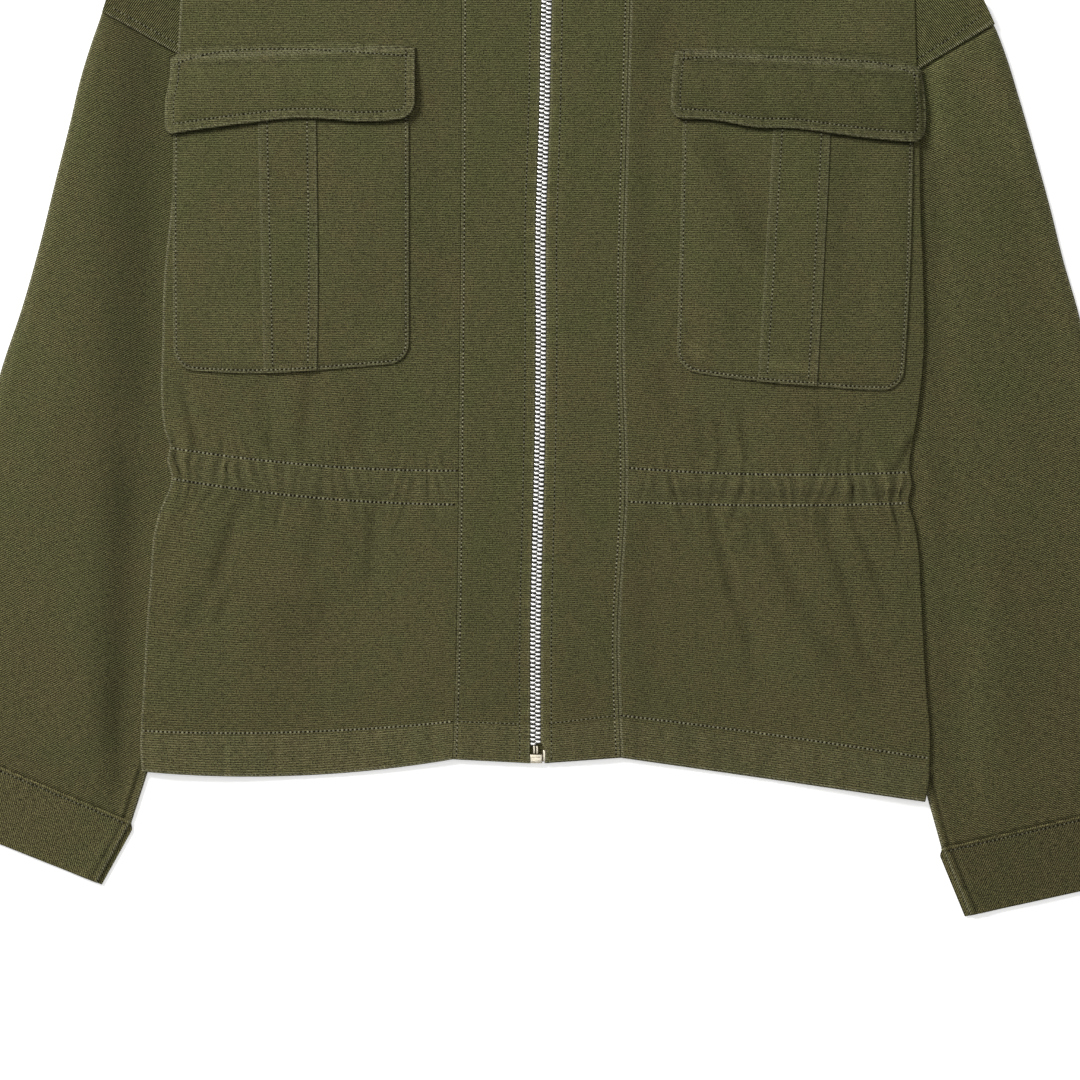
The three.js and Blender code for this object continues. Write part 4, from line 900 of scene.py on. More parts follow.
def back_grid(shares):
    """Places on the back, and the height of its cloth along the grain, for shares from right to left."""
    numbers = np.arange(0, len(BACK_ROWS) - 1, 0.13)
    lines = range(len(BACK_ROWS))
    right, left, crest = (np.interp(numbers, lines, column)[:, None] for column in BACK_ROWS.T)
    levels = body_levels(3.2)
    levels = levels[line_values(levels)["right_side"] < 95][:, None]
    row = line_values(levels)
    end_right, end_left = SHOULDER_END["right"], SHOULDER_END["left"]
    top_x = mix(end_right[0], end_left[0], shares)
    neck = np.abs(top_x - NECK_X) < NECK_HALF
    slope = np.where(top_x < NECK_X, shoulder_line("right", top_x), shoulder_line("left", top_x))
    crest_y = np.where(neck, back_neckline(top_x), slope) - mix(end_right[1], end_left[1], shares)
    upper_x = mix(back_side_x("right", right), back_side_x("left", left), shares)
    upper_y = mix(right, left, shares) + crest * crest_y
    lower_x = mix(back_side_x("right", row["right_side"]), back_side_x("left", row["left_side"]), shares)
    lower_y = line_height(row, lower_x) + HEM_STEP
    upper_v = mix(right, left, 0.5) + 60 * crest + 0 * upper_x
    lower_v = (row["right_side"] + row["right_seam"]) / 2 + 0 * lower_x
    return (
        np.concatenate([upper_x, lower_x]),
        np.concatenate([upper_y, lower_y]),
        np.concatenate([upper_v, lower_v]),
    )


def back_relief(x, y, shares, cloth_y):
    """How far the back's underside is drawn up by its creases, gathers and hem."""
    ripple = 0.8 + wave(shares * BACK_WIDE / GATHER_STEP["back"], 1.1)
    gathered = 0.3 * gather_reach(cloth_y - BACK_CASING) * ripple
    groove = 0.3 * near(cloth_y - BACK_HEM_ROW, 1.4)
    soft = 0.12 * (1 + wave(x / 70 + y / 200, 0.6))
    return np.clip(ridge(BACK_CREASES, x, y) + gathered + groove + soft, 0, 0.85)


def back_surface(x, y, shares, cloth_y):
    edge = np.minimum(shares, 1 - shares) * BACK_WIDE
    hem = np.maximum(cloth_y - BACK_HEM, 0)
    drawn_up = back_relief(x, y, shares, cloth_y) * smooth(edge / 12)
    return body_lift(x, y) + drawn_up + 0.6 * (rounding(edge, EDGE_ROUND) + rounding(hem, EDGE_ROUND))


def make_back(finish):
    shares = with_edge_steps(np.linspace(0, 1, 172), BACK_WIDE)[None, :]
    x, y, cloth_y = back_grid(shares)
    z = back_surface(x, y, shares, cloth_y)
    coarse = np.linspace(0, 1, 19)[None, :]
    top_x, top_y, top_v = back_grid(coarse)
    top_z = body_lift(top_x, top_y) + CLOTH
    edge = np.minimum(shares, 1 - shares) * BACK_WIDE + 0 * x
    # Painted shade where creases, gathers and the hem's groove draw the underside up
    fade = 0.12 * (0.2 - back_relief(x, y, shares, cloth_y))
    border = 0.8 * smooth((HEM_TURN - (cloth_y - BACK_HEM)) / 2)
    outer, inner = stacked(x, y, z), stacked(top_x, top_y, top_z)
    marks = {"edge": edge, "border": border, "fade": fade}
    piece = shell("back_cloth", outer, inner, stacked(x, cloth_y), stacked(top_x, top_v), marks=marks)
    return sew_on(piece, "back", finish)


# Shoulders, sleeves and cuffs

def point_between(a, b, share):
    return mix(a[0], b[0], share), mix(a[1], b[1], share)


def shoulder_point(side, down, share):
    """Places on a dropped shoulder, down from its upper edge to the armhole and in from the sleeve's edge."""
    outer, inner = ARMHOLE_OUTER[side], ARMHOLE_INNER[side]
    inward = -OUTWARD[side]
    tuck_x = float(read(SIDE_EDGE[side], 215)) + inward * SHOULDER_TUCK
    seam_share = (tuck_x - outer[0]) / (inner[0] - outer[0])
    top_inner = (tuck_x, shoulder_line(side, tuck_x))
    bottom_inner = point_between(outer, inner, seam_share)
    outer_x, outer_y = point_between(SHOULDER_END[side], outer, down)
    inner_x, inner_y = point_between(top_inner, bottom_inner, down)
    return mix(outer_x, inner_x, share), mix(outer_y, inner_y, share)


def shoulder_depth(down, share):
    """Distance from a dropped shoulder's armhole seam, with the piece far shallower at the sleeve's edge."""
    return (1 - down) * mix(SHOULDER_OUTER_DEEP, SHOULDER_DEEP, share)


def shoulder_height(x, y, down, share):
    depth = shoulder_depth(down, share)
    height = body_lift(x, y) + CLOTH + SEAM_GAP + SHOULDER_CLOTH
    height = height + 0.3 - 0.25 * near(depth - SHOULDER_ROW, 1.2) + 0.08 * wave(x / 6.1, 0.4)
    return height - rounding(depth, SEAM_ROUND) - rounding(share * SHOULDER_WIDE, 0.8)


def make_shoulder(side, finish):
    down = with_edge_steps(np.linspace(0, 1, 44), SHOULDER_DEEP)[:, None]
    share = with_edge_steps(np.linspace(0, 1, 44), SHOULDER_WIDE)[None, :]
    x, y = shoulder_point(side, down, share)
    z = shoulder_height(x, y, down, share)
    low_x, low_y = shoulder_point(side, down, np.linspace(0, 1, 6)[None, :])
    low_z = body_lift(low_x, low_y) + CLOTH + SEAM_GAP
    top, under = (x, y, z, y), (low_x, low_y, low_z, low_y)
    return lay_piece("shoulder", side, finish, ["back_cloth"], top, under, edge=shoulder_depth(down, share))


def tube(
    name, outer_line, inner_line, top_height, across, under_across,
    peek=0.0, edge_radius=2.2, painted_shading=(), tone=0.0,
):
    """A flattened tube of cloth. outer_line and inner_line are its two edges, row by row. top_height gives
    the height of its upper layer for the distance from the outer edge. across and under_across are its
    columns, as shares of its width. peek is how far its lower layer shows past the inner edge.
    painted_shading and tone make its cloth lighter or darker: painted shade and light, and paler or darker
    dye."""
    width = np.linalg.norm(inner_line - outer_line, axis=1)[:, None]
    rows = len(width)
    travel = length_along((outer_line + inner_line) / 2)[:, None]
    peek = np.broadcast_to(peek, (rows, 1))

    def lay(u, z, reach=0.0):
        share = u / width * (1 + reach / width)
        x = mix(outer_line[:, :1], inner_line[:, :1], share)
        y = mix(outer_line[:, 1:], inner_line[:, 1:], share)
        return stacked(x, y, z)

    def bent(u, radius):
        inside = np.clip(1 - np.minimum(u, width - u) / radius, 0, 1)
        return np.sqrt(1 - inside**2)

    u = across[None, :] * width
    heights = top_height(u)
    middle = SLEEVE_FLAT / 2
    top = lay(u, middle + (heights - middle) * bent(u, edge_radius))
    back_u = (under_across[::-1])[None, :] * width
    bottom = lay(back_u, middle - middle * bent(back_u, edge_radius), peek)
    grids = [top, bottom]
    flats = [stacked(u, -travel), stacked(2 * width - back_u, -travel)]
    if peek.max() > 0:
        # The back layer shows past the upper one as a strip that lies flat
        strip_u = width + np.maximum(peek, 0.3) * np.array([[0.02, 0.5, 0.85]])
        grids.insert(1, lay(strip_u, LEDGE * np.array([[1.0, 1.0, 0.8]]) + 0 * strip_u))
        flats.insert(1, stacked(strip_u, -travel))
    outer = np.concatenate(grids, axis=1)
    outer_uv = np.concatenate(flats, axis=1)

    inset = np.clip(np.linspace(0, 1, 9), 0.015, 0.985)
    in_u = inset[None, :] * width
    in_top = lay(in_u, np.maximum(top_height(in_u) - CLOTH, CLOTH + 0.4))
    in_bottom = lay(in_u[:, ::-1], CLOTH * 0.75 + 0 * in_u, peek)
    inner = np.concatenate([in_top, in_bottom], axis=1)
    inner_uv = np.concatenate([stacked(in_u, -travel), stacked(2 * width - in_u[:, ::-1], -travel)], axis=1)
    edge = np.minimum(u, width - u)
    strip = outer.shape[1] - top.shape[1] - bottom.shape[1]
    under_edge = np.full((rows, len(under_across) + strip), 8.0)
    rim = smooth((11 - u) / 11)
    # Painted shading of the upper layer: its tone, paler towards the outer edge, the inner seam's shading and
    # the streaks
    fade = tone + 0.04 * smooth((40 - u) / 40) + inner_fade(width - u)
    fade = fade + ridge(painted_shading, top[..., 0], top[..., 1])
    # Painted light on the strip of the lower layer that shows past the inner edge
    under_fade = 0 * under_edge
    under_fade[:, :strip] = 0.2
    marks = {
        "edge": np.concatenate([edge, under_edge], axis=1),
        "border": np.concatenate([rim, 0 * under_edge], axis=1),
        "fade": np.concatenate([fade, under_fade], axis=1),
    }
    around = float(2 * width.max())
    return shell(name, outer, inner, outer_uv, inner_uv, wrap=True, marks=marks, around=around)


def inner_fade(from_inner):
    """How much lighter a tube is painted along its inner edge: paler along the edge and beside its seam, and
    painted shade in the groove of the seam.
    """
    pale = 0.2 * near(from_inner - 2.2, 1.8) + 0.1 * near(from_inner - 8.2, 1.3)
    return pale - 0.45 * near(from_inner - 5.2, 0.9)


def sleeve_lines(side):
    """The sleeve's outer and inner edges from the armhole to the wrist, about 2.5 mm apart."""
    edge = np.array(SLEEVE_EDGE[side], float)
    travel = length_along(edge)
    at_wrist = travel[-1] - np.array([5.6, 4.4, 3.3, 2.4, 1.6, 0.9, 0.4, 0])
    at = np.concatenate([np.linspace(0, travel[-1] - 7, 212), at_wrist])
    outer = np.stack([read(list(zip(travel, edge[:, k])), at) for k in (0, 1)], axis=1)
    head, wrist = np.array(SLEEVE_HEAD[side]), np.array(SLEEVE_WRIST[side])
    inner = mix(head[None, :], wrist[None, :], (at / travel[-1])[:, None])
    return outer, inner, at


def shown_width(side, outer, inner):
    """How far the sleeve shows from its outer edge, before the body's side edge covers it."""
    low = np.zeros(len(outer))
    high = np.ones(len(outer))
    width = np.linalg.norm(inner - outer, axis=1)
    for _ in range(24):
        middle = (low + high) / 2
        point = mix(outer, inner, middle[:, None])
        edge_x = read(SIDE_EDGE[side], np.maximum(point[:, 1], -290))
        beyond = point[:, 0] > edge_x if side == "right" else point[:, 0] < edge_x
        high = np.where(beyond, middle, high)
        low = np.where(beyond, low, middle)
    return np.minimum(low * width - 2, width - 5)


def make_sleeve(side, finish):
    outer, inner, at = sleeve_lines(side)
    width = np.linalg.norm(inner - outer, axis=1)[:, None]
    shown = shown_width(side, outer, inner)[:, None]
    below_seam = smooth((at - 4.5) / 14)[:, None]
    past_seam = np.maximum(at - ARMHOLE_DOWN[side], 0)[:, None]
    seam_rise = 2.4 * smooth(past_seam / 2.4) * np.exp(-past_seam / 30)
    below_body = smooth((at - at[-1] + 60) / 40)[:, None]
    before_wrist = (at[-1] - at)[:, None]

    def top_height(u):
        share = u / width
        x = mix(outer[:, :1], inner[:, :1], share)
        y = mix(outer[:, 1:], inner[:, 1:], share)
        rise = smooth(u / 9) * smooth((shown - u) / 26)
        above_wrist = 0.15 + 0.85 * smooth(before_wrist / 26)
        loft = SLEEVE_LOFT * below_seam * rise * above_wrist
        folds = ridge(SLEEVE_FOLDS[side], x, y) + 0.22 * wave(x / 52 + y / 170, 0.8)
        folds = folds * smooth(u / 12) * smooth((shown - u) / 14 + 0.1)
        seam = underarm(width - u, before_wrist)
        wrist = 0.3 * smooth(1 - before_wrist / 9) * wave(u / 7.7, 1.4) * (u < shown)
        wrist = wrist - 0.9 * near(before_wrist, 1.3)
        at_armhole = seam_rise * smooth((shown - u + 4) / 10)
        return SLEEVE_FLAT + loft + at_armhole + np.maximum(folds, -0.9) + below_body * seam + wrist

    visible = np.linspace(0, 0.84, 92)
    inner_seam = 1 - np.array((3.2, 4.2, 5.2, 6.2, 7.2, 8.4, 9.8)) / WRIST_WIDE
    across = with_edge_steps(np.concatenate([visible, np.linspace(0.86, 1, 12), inner_seam]), SLEEVE_WIDE)
    under_across = with_edge_steps(np.linspace(0, 1, 30), SLEEVE_WIDE)
    name = f"sleeve_{side}_cloth"
    piece = tube(name, outer, inner, top_height, across, under_across, painted_shading=SLEEVE_PAINTED_SHADING[side])
    return sew_on(piece, f"sleeve_{side}", finish)


def underarm(from_inner, before_wrist):
    """The underarm seam where it shows below the body: a fine groove with a low ridge beside it."""
    groove = -0.7 * near(from_inner - 5.2, 1.1)
    bank = 0.35 * near(from_inner - 7.8, 1.8)
    return (groove + bank) * smooth((60 - before_wrist) / 20)


def cuff_lines(side, shares):
    seam, edge = np.array(CUFF_SEAM[side]), np.array(CUFF_EDGE[side])
    outer = mix(seam[0][None, :], edge[0][None, :], shares[:, None])
    inner = mix(seam[1][None, :], edge[1][None, :], shares[:, None])
    return outer, inner


def cuff_top(u, width, down):
    """Height of a cuff's upper layer: a ridge at its seam, stitches under it, pulls and a rounded edge."""
    below = down * CUFF_DEEP
    height = CUFF_HEIGHT + 0.7 * near(below - 0.8, 1.2) * (0.8 + 0.4 * wave(u / 6.4, 0.9))
    height = height - 0.3 * near(below - 3.1, 1.0)
    height = height + 0.16 * wave(u / 8.3 + below / 60, 0.5) * smooth((30 - below) / 25)
    height = height + 0.35 * wave(u / 44 + below / 90, 1.7)
    height = height + 0.4 * near(width - u - 8.5, 1.4) - 0.3 * near(width - u - 6, 1.0)
    return height - 0.8 * rounding(CUFF_DEEP - below, EDGE_ROUND) - 0.5 * rounding(below, SEAM_ROUND)


def cuff_fade(u, down):
    """How much lighter a cuff is painted: a painted highlight on the puckered ridge at its seam, paler dye at
    its folded edge, and painted shade in the groove of its row of stitches.
    """
    below = down * CUFF_DEEP
    ridge_fade = near(below - 0.9, 1.1) * (0.62 + 0.3 * wave(u / 6.4, 0.9))
    rim_fade = near(below - 46, 3) * (0.08 + 0.06 * wave(u / 8.1, 0.2))
    return ridge_fade + rim_fade - 0.22 * near(below - 3, 1.1)


def make_cuff(side, finish):
    shares = np.concatenate([np.linspace(SEAM_GAP, 6, 15), np.linspace(7.5, 42, 18)]) / CUFF_DEEP
    shares = with_edge_steps(np.append(shares, 1), CUFF_DEEP)
    shares = shares[shares >= SEAM_GAP / CUFF_DEEP]
    outer, inner = cuff_lines(side, shares)
    width = np.linalg.norm(inner - outer, axis=1)[:, None]
    down = shares[:, None]
    peek = CUFF_PEEK * smooth(down * 8)
    across = with_edge_steps(np.linspace(0, 1, 96), CUFF_WIDE)
    under_across = with_edge_steps(np.linspace(0, 1, 40), CUFF_WIDE)
    tone = 0.03 if side == "right" else -0.12
    tone = tone + cuff_fade(across[None, :] * width, down)

    def top_height(u):
        return cuff_top(u, width, down)

    name = f"cuff_{side}_cloth"
    piece = tube(name, outer, inner, top_height, across, under_across, peek, CUFF_ROUND, tone=tone)
    return sew_on(piece, f"cuff_{side}", finish)


# Pockets, pleat strips and flaps

def corner_inset(radius, distance):
    inside = np.maximum(0, radius - distance)
    return radius - np.sqrt(np.maximum(0, radius**2 - inside**2))


def patch_point(side, patch, down, share):
    """Places on a patch, down from its top and across from its outside edge."""
    inward = -OUTWARD[side]
    edges = []
    for line, radius, turn in zip((patch["outside"], patch["inside"]), patch["corners"], (1, -1)):
        top_y, bottom_y = line[0][0], line[-1][0]
        x = read(line, mix(top_y, bottom_y, down))
        edges.append(x + inward * turn * corner_inset(radius, (1 - down) * abs(top_y - bottom_y)))
    x = mix(edges[0], edges[1], share)
    y = mix(read(patch["top"], x), read(patch["bottom"], x), down)
    return x, y


def patch_down(patch, x, y):
    """How far down its patch a place lies."""
    top, bottom = read(patch["top"], x), read(patch["bottom"], x)
    return np.clip((top - y) / (top - bottom), 0, 1)


def patch_outline(side, patch):
    """The outline from the top of the outside edge, round the bottom and up the inside edge."""
    ends = 1 - np.linspace(1, 0, 60) ** 2
    parts = [
        patch_point(side, patch, ends, 0 * ends),
        patch_point(side, patch, 1 + 0 * ends, np.linspace(0, 1, 60)),
        patch_point(side, patch, ends[::-1], 1 + 0 * ends),
    ]
    return np.concatenate([np.stack(part, axis=1) for part in parts])


def distance_to(line, x, y):
    """Distance from places to a line of points."""
    best = np.full(x.shape, 1e9)
    for (x0, y0), (x1, y1) in zip(line[:-1], line[1:]):
        dx, dy = x1 - x0, y1 - y0
        size = dx * dx + dy * dy
        if size < 1e-9:
            continue
        t = np.clip(((x - x0) * dx + (y - y0) * dy) / size, 0, 1)
        best = np.minimum(best, (x - x0 - t * dx) ** 2 + (y - y0 - t * dy) ** 2)
    return np.sqrt(best)


def inset_line(line, inset, side):
    """A copy of an outline moved inwards, without the points that a tight corner turns back."""
    ahead = np.gradient(line, axis=0)
    size = np.linalg.norm(ahead, axis=1, keepdims=True)
    ahead = ahead / np.maximum(size, 1e-9)
    inward = np.stack([-ahead[:, 1], ahead[:, 0]], axis=1) * -OUTWARD[side]
    moved = line + inset * inward
    gap = distance_to(line, moved[:, 0], moved[:, 1])
    return moved[gap > inset * 0.97]


def pocket_height(side, x, y):
    patch = POCKETS[side]
    edge = distance_to(patch_outline(side, patch), x, y)
    height = front_field(side, x, y) + LAID_ON + CLOTH
    height = height + 0.35 * smooth(edge / 8) - 0.22 * near(edge - POCKET_ROW, 1.0)
    height = height + 0.16 * smooth((9 - edge) / 7) * (wave(x / 6.2, 0.3) + wave(y / 6.6, 1.1)) * 0.6
    height = height + 0.18 * wave(x / 38 + y / 120, 0.9) * smooth(edge / 20)
    return height - rounding(edge, 0.9), edge


def pleat_height(side, x, y):
    patch = PLEATS[side]
    outline = patch_outline(side, patch)
    edge = distance_to(outline, x, y)
    below, _ = pocket_height(side, x, y)
    height = np.maximum(below, front_field(side, x, y) + LAID_ON + CLOTH) + 0.05 + PLEAT_CLOTH
    height = height - 0.18 * near(edge - PLEAT_ROW, 1.1)
    height = height + 0.08 * wave(y / 6.4, 0.8) * smooth((9 - edge) / 6)
    return height - rounding(edge, 0.8), edge


def flap_height(side, x, y):
    patch = FLAPS[side]
    down = patch_down(patch, x, y)
    outline = patch_outline(side, patch)
    closed = np.concatenate([outline, outline[:1]])
    edge = distance_to(closed, x, y)
    past_side = np.abs(x) - np.abs(read(POCKETS[side]["outside"], y))
    drop = 1.9 * smooth((past_side + 2) / 7) * smooth((down - 0.1) / 0.3)
    past_body = np.abs(x) - np.abs(read(SIDE_EDGE[side], y))
    drop = drop + 2.3 * smooth((past_body + 0.5) / 4)
    height = front_field(side, x, y) + LAID_ON + FLAP_CLOTH + read(FLAP_CLIMB, down) - drop
    rim = smooth((FLAP_ROW - edge) / 2.5)
    along = np.where(np.minimum(down, 1 - down) * 48 < 7.5, x, y)
    height = height + rim * (0.42 + 0.34 * wave(along / 5.8, 0.6 if side == "right" else 1.9))
    height = height + 0.4 * smooth((edge - FLAP_ROW) / 9)
    height = height - 0.34 * near(edge - FLAP_ROW, 1.0)
    height = height + 0.25 * wave(x / 31 + y / 80, 0.2) * smooth(edge / 9)
    return height - rounding(edge, EDGE_ROUND), edge


def make_patch(kind, side, patch, height_at, thickness, finish, rests_on, spacing):
    width = abs(patch["outside"][0][1] - patch["inside"][0][1])
    depth = abs(patch["outside"][0][0] - patch["outside"][-1][0])
    down = with_edge_steps(np.linspace(0, 1, round(depth / spacing)), depth)
    corner = 1 - (np.linspace(0, 1, 14) ** 2) * 14 / depth
    down = np.unique(np.round(np.concatenate([down, corner]), 5))[:, None]
    share = with_edge_steps(np.linspace(0, 1, round(width / spacing)), width)[None, :]
    x, y = patch_point(side, patch, down, share)
    z, edge = height_at(side, x, y)
    low_x, low_y = patch_point(side, patch, down, np.linspace(0, 1, 12)[None, :])
    low_z, low_edge = height_at(side, low_x, low_y)
    low_z = low_z + rounding(low_edge, 1.0) - thickness
    border_width = {"flap": FLAP_ROW, "pocket": POCKET_ROW + 1, "pleat": PLEAT_ROW}[kind]
    border = smooth((border_width + 1.5 - edge) / 2.5)
    if kind == "flap":
        tone = 0.02 if side == "right" else -0.09
        # Painted highlights and shade on the flap's puckered border, and a paler line just inside its edge
        border_shading = 0.11 * wave((x + y) / 6.3, 0.8) + 0.06 * near(edge - 1.4, 1.2)
        fade = tone + border * border_shading + 0.05 * wave(x / 23 + y / 60, 0.5)
    else:
        # A painted shadow in a strip just below the flap's lower edge, the painted shading streaks, and
        # painted highlights and shade on the puckered border
        under_flap = read(FLAPS[side]["bottom"], x) - y
        fade = ridge(POCKET_PAINTED_SHADING[side], x, y) + 0.09 * border * wave((x + y) / 6.5, 1.4)
        fade = fade - 0.55 * smooth((2.6 - under_flap) / 1.6)
    # Painted shade in the groove of the patch's row of stitches
    fade = fade - 0.15 * near(edge - border_width, 1.2)
    top, under = (x, y, z, y), (low_x, low_y, low_z, low_y)
    return lay_piece(kind, side, finish, rests_on, top, under, edge=edge, border=border, fade=fade)


# The collar

def collar_stations():
    """Places along the stand collar: down the right front, round the fold, over the back and round again.
    Each is x at the seam, x at the top, outer height, inner height, the seam's y and the top edge's y."""
    stations = []
    half = NECK_HALF - COLLAR_OFFSET
    front_low_z = CLOTH + ZIP_SPACE
    quarter = math.pi / 2

    def front_half(sign, angles):
        for angle in angles:
            top_y = COLLAR_TOP - COLLAR_FRONT_DROP * math.sin(angle)
            edge_top = float(read(ZIP_LINE, top_y)) + sign * CLOTH_EDGE
            edge_seam = float(read(ZIP_LINE, NECK_Y - NECK_FRONT)) + sign * CLOTH_EDGE
            x = NECK_X + sign * half * math.cos(angle)
            past = sign * (x - edge_top) < 0
            x_seam, x_top = (edge_seam, edge_top) if past else (x, x)
            seam_y = float(neckline(np.array(x_seam), COLLAR_OFFSET))
            stations.append((x_seam, x_top, front_low_z + CLOTH, front_low_z, seam_y, top_y))

    def fold(sign, turns):
        centre = (front_low_z + CLOTH) / 2
        for turn in turns:
            angle = quarter - turn * math.pi
            inner_radius = centre - CLOTH
            x = NECK_X + sign * (half + 0.5 * (centre + inner_radius) * math.cos(angle))
            outer_z = centre + centre * math.sin(angle)
            inner_z = centre + inner_radius * math.sin(angle)
            stations.append((x, x, outer_z, inner_z, NECK_Y + COLLAR_OFFSET, COLLAR_TOP))

    front = np.linspace(0, quarter, 44)
    front_half(-1, front[::-1][:-1])
    fold(-1, np.linspace(0, 1, 9))
    for share in np.linspace(0, 1, 60)[1:-1]:
        x = mix(NECK_X - half, NECK_X + half, share)
        top_y = COLLAR_TOP - COLLAR_BACK_DROP * (1 - ((x - NECK_X) / half) ** 2)
        seam_y = float(back_neckline(np.array(x))) + COLLAR_BACK_SEAM
        stations.append((x, x, 0.0, CLOTH, seam_y, top_y))
    fold(1, np.linspace(1, 0, 9))
    front_half(1, front[1:])
    return np.array(stations)


def collar_grid(stations, down, outer):
    x = mix(stations[:, 1], stations[:, 0], down)
    y = mix(stations[:, 5], stations[:, 4], down)
    z = stations[:, 2] if outer else stations[:, 3]
    return x, y, z + 0 * x


def make_collar(finish):
    stations = collar_stations()
    down = with_edge_steps(np.linspace(0, 1, 34), COLLAR_DEEP)[:, None]
    x, y, z = collar_grid(stations[None, :, :].reshape(-1, 6), down, True)
    inner_x, inner_y, inner_z = collar_grid(stations[::3], down, False)
    edge = np.minimum(down, 1 - down) * COLLAR_DEEP + 0 * x
    facing = np.sign(stations[:, 2] - stations[:, 3])
    z = z - 0.5 * facing * rounding(edge, 0.9) + facing * 0.1 * wave(x / 9, 0.7) * smooth(edge / 9)
    travel = length_along(np.stack([stations[:, 0], stations[:, 4]], axis=1))
    piece = shell(
        "collar_cloth", stacked(x, y, z), stacked(inner_x, inner_y, inner_z),
        stacked(travel[None, :], -down * COLLAR_DEEP), stacked(travel[::3][None, :], -down * COLLAR_DEEP),
        marks={"edge": edge, "border": smooth((7 - edge) / 3)},
    )
    return sew_on(piece, "collar", finish)


# Sewing thread

def template(make, size, bevel=0.0):
    """Points and faces of a small shape that is modelled once and copied."""
    bpy.ops.object.select_all(action="DESELECT")
    make()
    piece = bpy.context.active_object
    bpy.ops.object.mode_set(mode="EDIT")
    bpy.ops.mesh.select_all(action="SELECT")
    bpy.ops.transform.resize(value=tuple(value * MM for value in size), center_override=(0, 0, 0))
    bpy.ops.object.mode_set(mode="OBJECT")
    if bevel:
        round_edges(bevel, 2)
    points = np.array([vertex.co for vertex in piece.data.vertices]) / MM
    faces = [tuple(face.vertices) for face in piece.data.polygons]
    mesh = piece.data
    bpy.data.objects.remove(piece)
    bpy.data.meshes.remove(mesh)
    return points, faces


def ball(rings):
    return lambda: bpy.ops.mesh.primitive_uv_sphere_add(segments=5, ring_count=rings)


def copies(name, shapes, frames):
    """One mesh of many copies. Each of the shapes is (points, faces, slot), and each of the frames is
    (shape, origin, ahead, across, up)."""
    points, faces, slots = [], [], []
    count = 0
    for shape, origin, ahead, across, up in frames:
        local, local_faces, slot = shapes[shape]
        points.append(origin + local @ np.stack([ahead, across, up]))
        faces.extend(tuple(corner + count for corner in face) for face in local_faces)
        slots.extend([slot] * len(local_faces))
        count += len(local)
    mesh = bpy.data.meshes.new(name)
    mesh.from_pydata(place(np.concatenate(points)).tolist(), [], faces)
    mesh.polygons.foreach_set("material_index", slots)
    piece = bpy.data.objects.new(name, mesh)
    bpy.context.scene.collection.objects.link(piece)
    finish_smooth(piece, 50)
    return piece


def stitch_frames(path, random, under=False, bold=1.0):
    """Thread and needle hole places along a path of points that lies on the cloth."""
    travel = length_along(path)
    count = int(travel[-1] / STITCH)
    up = np.array((0.0, 0.0, -1.0 if under else 1.0))
    frames = []
    for k in range(count):
        at = (k + 0.5) * STITCH + random.uniform(-0.14, 0.14)
        spots = [np.array([np.interp(at + shift, travel, path[:, axis]) for axis in range(3)])
                 for shift in (-0.7, 0, 0.7, STITCH / 2)]
        ahead = spots[2] - spots[0]
        ahead = ahead / np.linalg.norm(ahead)
        across = np.cross(up, ahead)
        across = across / np.linalg.norm(across)
        normal = np.cross(ahead, across)
        angle = STITCH_TWIST + random.uniform(-0.1, 0.1)
        turned = ahead * math.cos(angle) + across * math.sin(angle)
        turned_across = across * math.cos(angle) - ahead * math.sin(angle)
        depth = -0.2 if under else 0.05
        frames.append((0, spots[1] + normal * depth, turned * bold, turned_across * bold, normal))
        frames.append((1, spots[3] + normal * min(depth, 0), turned * bold, turned_across * bold, normal))
    return frames


def front_row(side, line, inset=1.5):
    shares = np.linspace(inset / FRONT_WIDE, 1 - 0.8 / FRONT_WIDE, 420)
    x, y, cloth_y = front_point(side, float(line), shares)
    return stacked(x, y, front_height(side, x, y, shares, cloth_y + 0 * x))


def band_row(side, distance):
    """A row of stitches down a band, at a distance from its seam or, when negative, from its zip edge."""
    levels = np.linspace(0, EDGE_LINE - 0.03, 700)
    seam, _, _ = band_point(side, levels, 0 * levels)
    edge, _, _ = band_point(side, levels, 0 * levels + 1)
    width = np.abs(edge - seam)
    shares = distance / width if distance > 0 else 1 + distance / width
    x, y, cloth_y = band_point(side, levels, shares)
    if distance < 0:
        x = read(ZIP_LINE, y) + OUTWARD[side] * ZIP_ROW
    return stacked(x, y, band_height(side, x, y, shares, cloth_y))


def band_hem(side):
    shares = np.linspace(0.8 / BAND_WIDE, 1 - 4.5 / BAND_WIDE, 120)
    x, y, cloth_y = band_point(side, float(HEM_LINE), shares)
    return stacked(x, y, band_height(side, x, y, shares, cloth_y + 0 * x))


def patch_row(side, patch, inset, height_at):
    line = inset_line(patch_outline(side, patch), inset, side)
    z, _ = height_at(side, line[:, 0], line[:, 1])
    return stacked(line[:, 0], line[:, 1], z)


def flap_top_row(side):
    """The row that sews a flap down, just below its top edge."""
    patch = FLAPS[side]
    x_outside, _ = patch_point(side, patch, np.array(0.1), np.array(0.0))
    x_inside, _ = patch_point(side, patch, np.array(0.1), np.array(1.0))
    inward = -OUTWARD[side]
    x = np.linspace(x_outside + inward * 1.2, x_inside - inward * 1.2, 200)
    y = read(patch["top"], x) - FLAP_ROW
    z, _ = flap_height(side, x, y)
    return stacked(x, y, z)


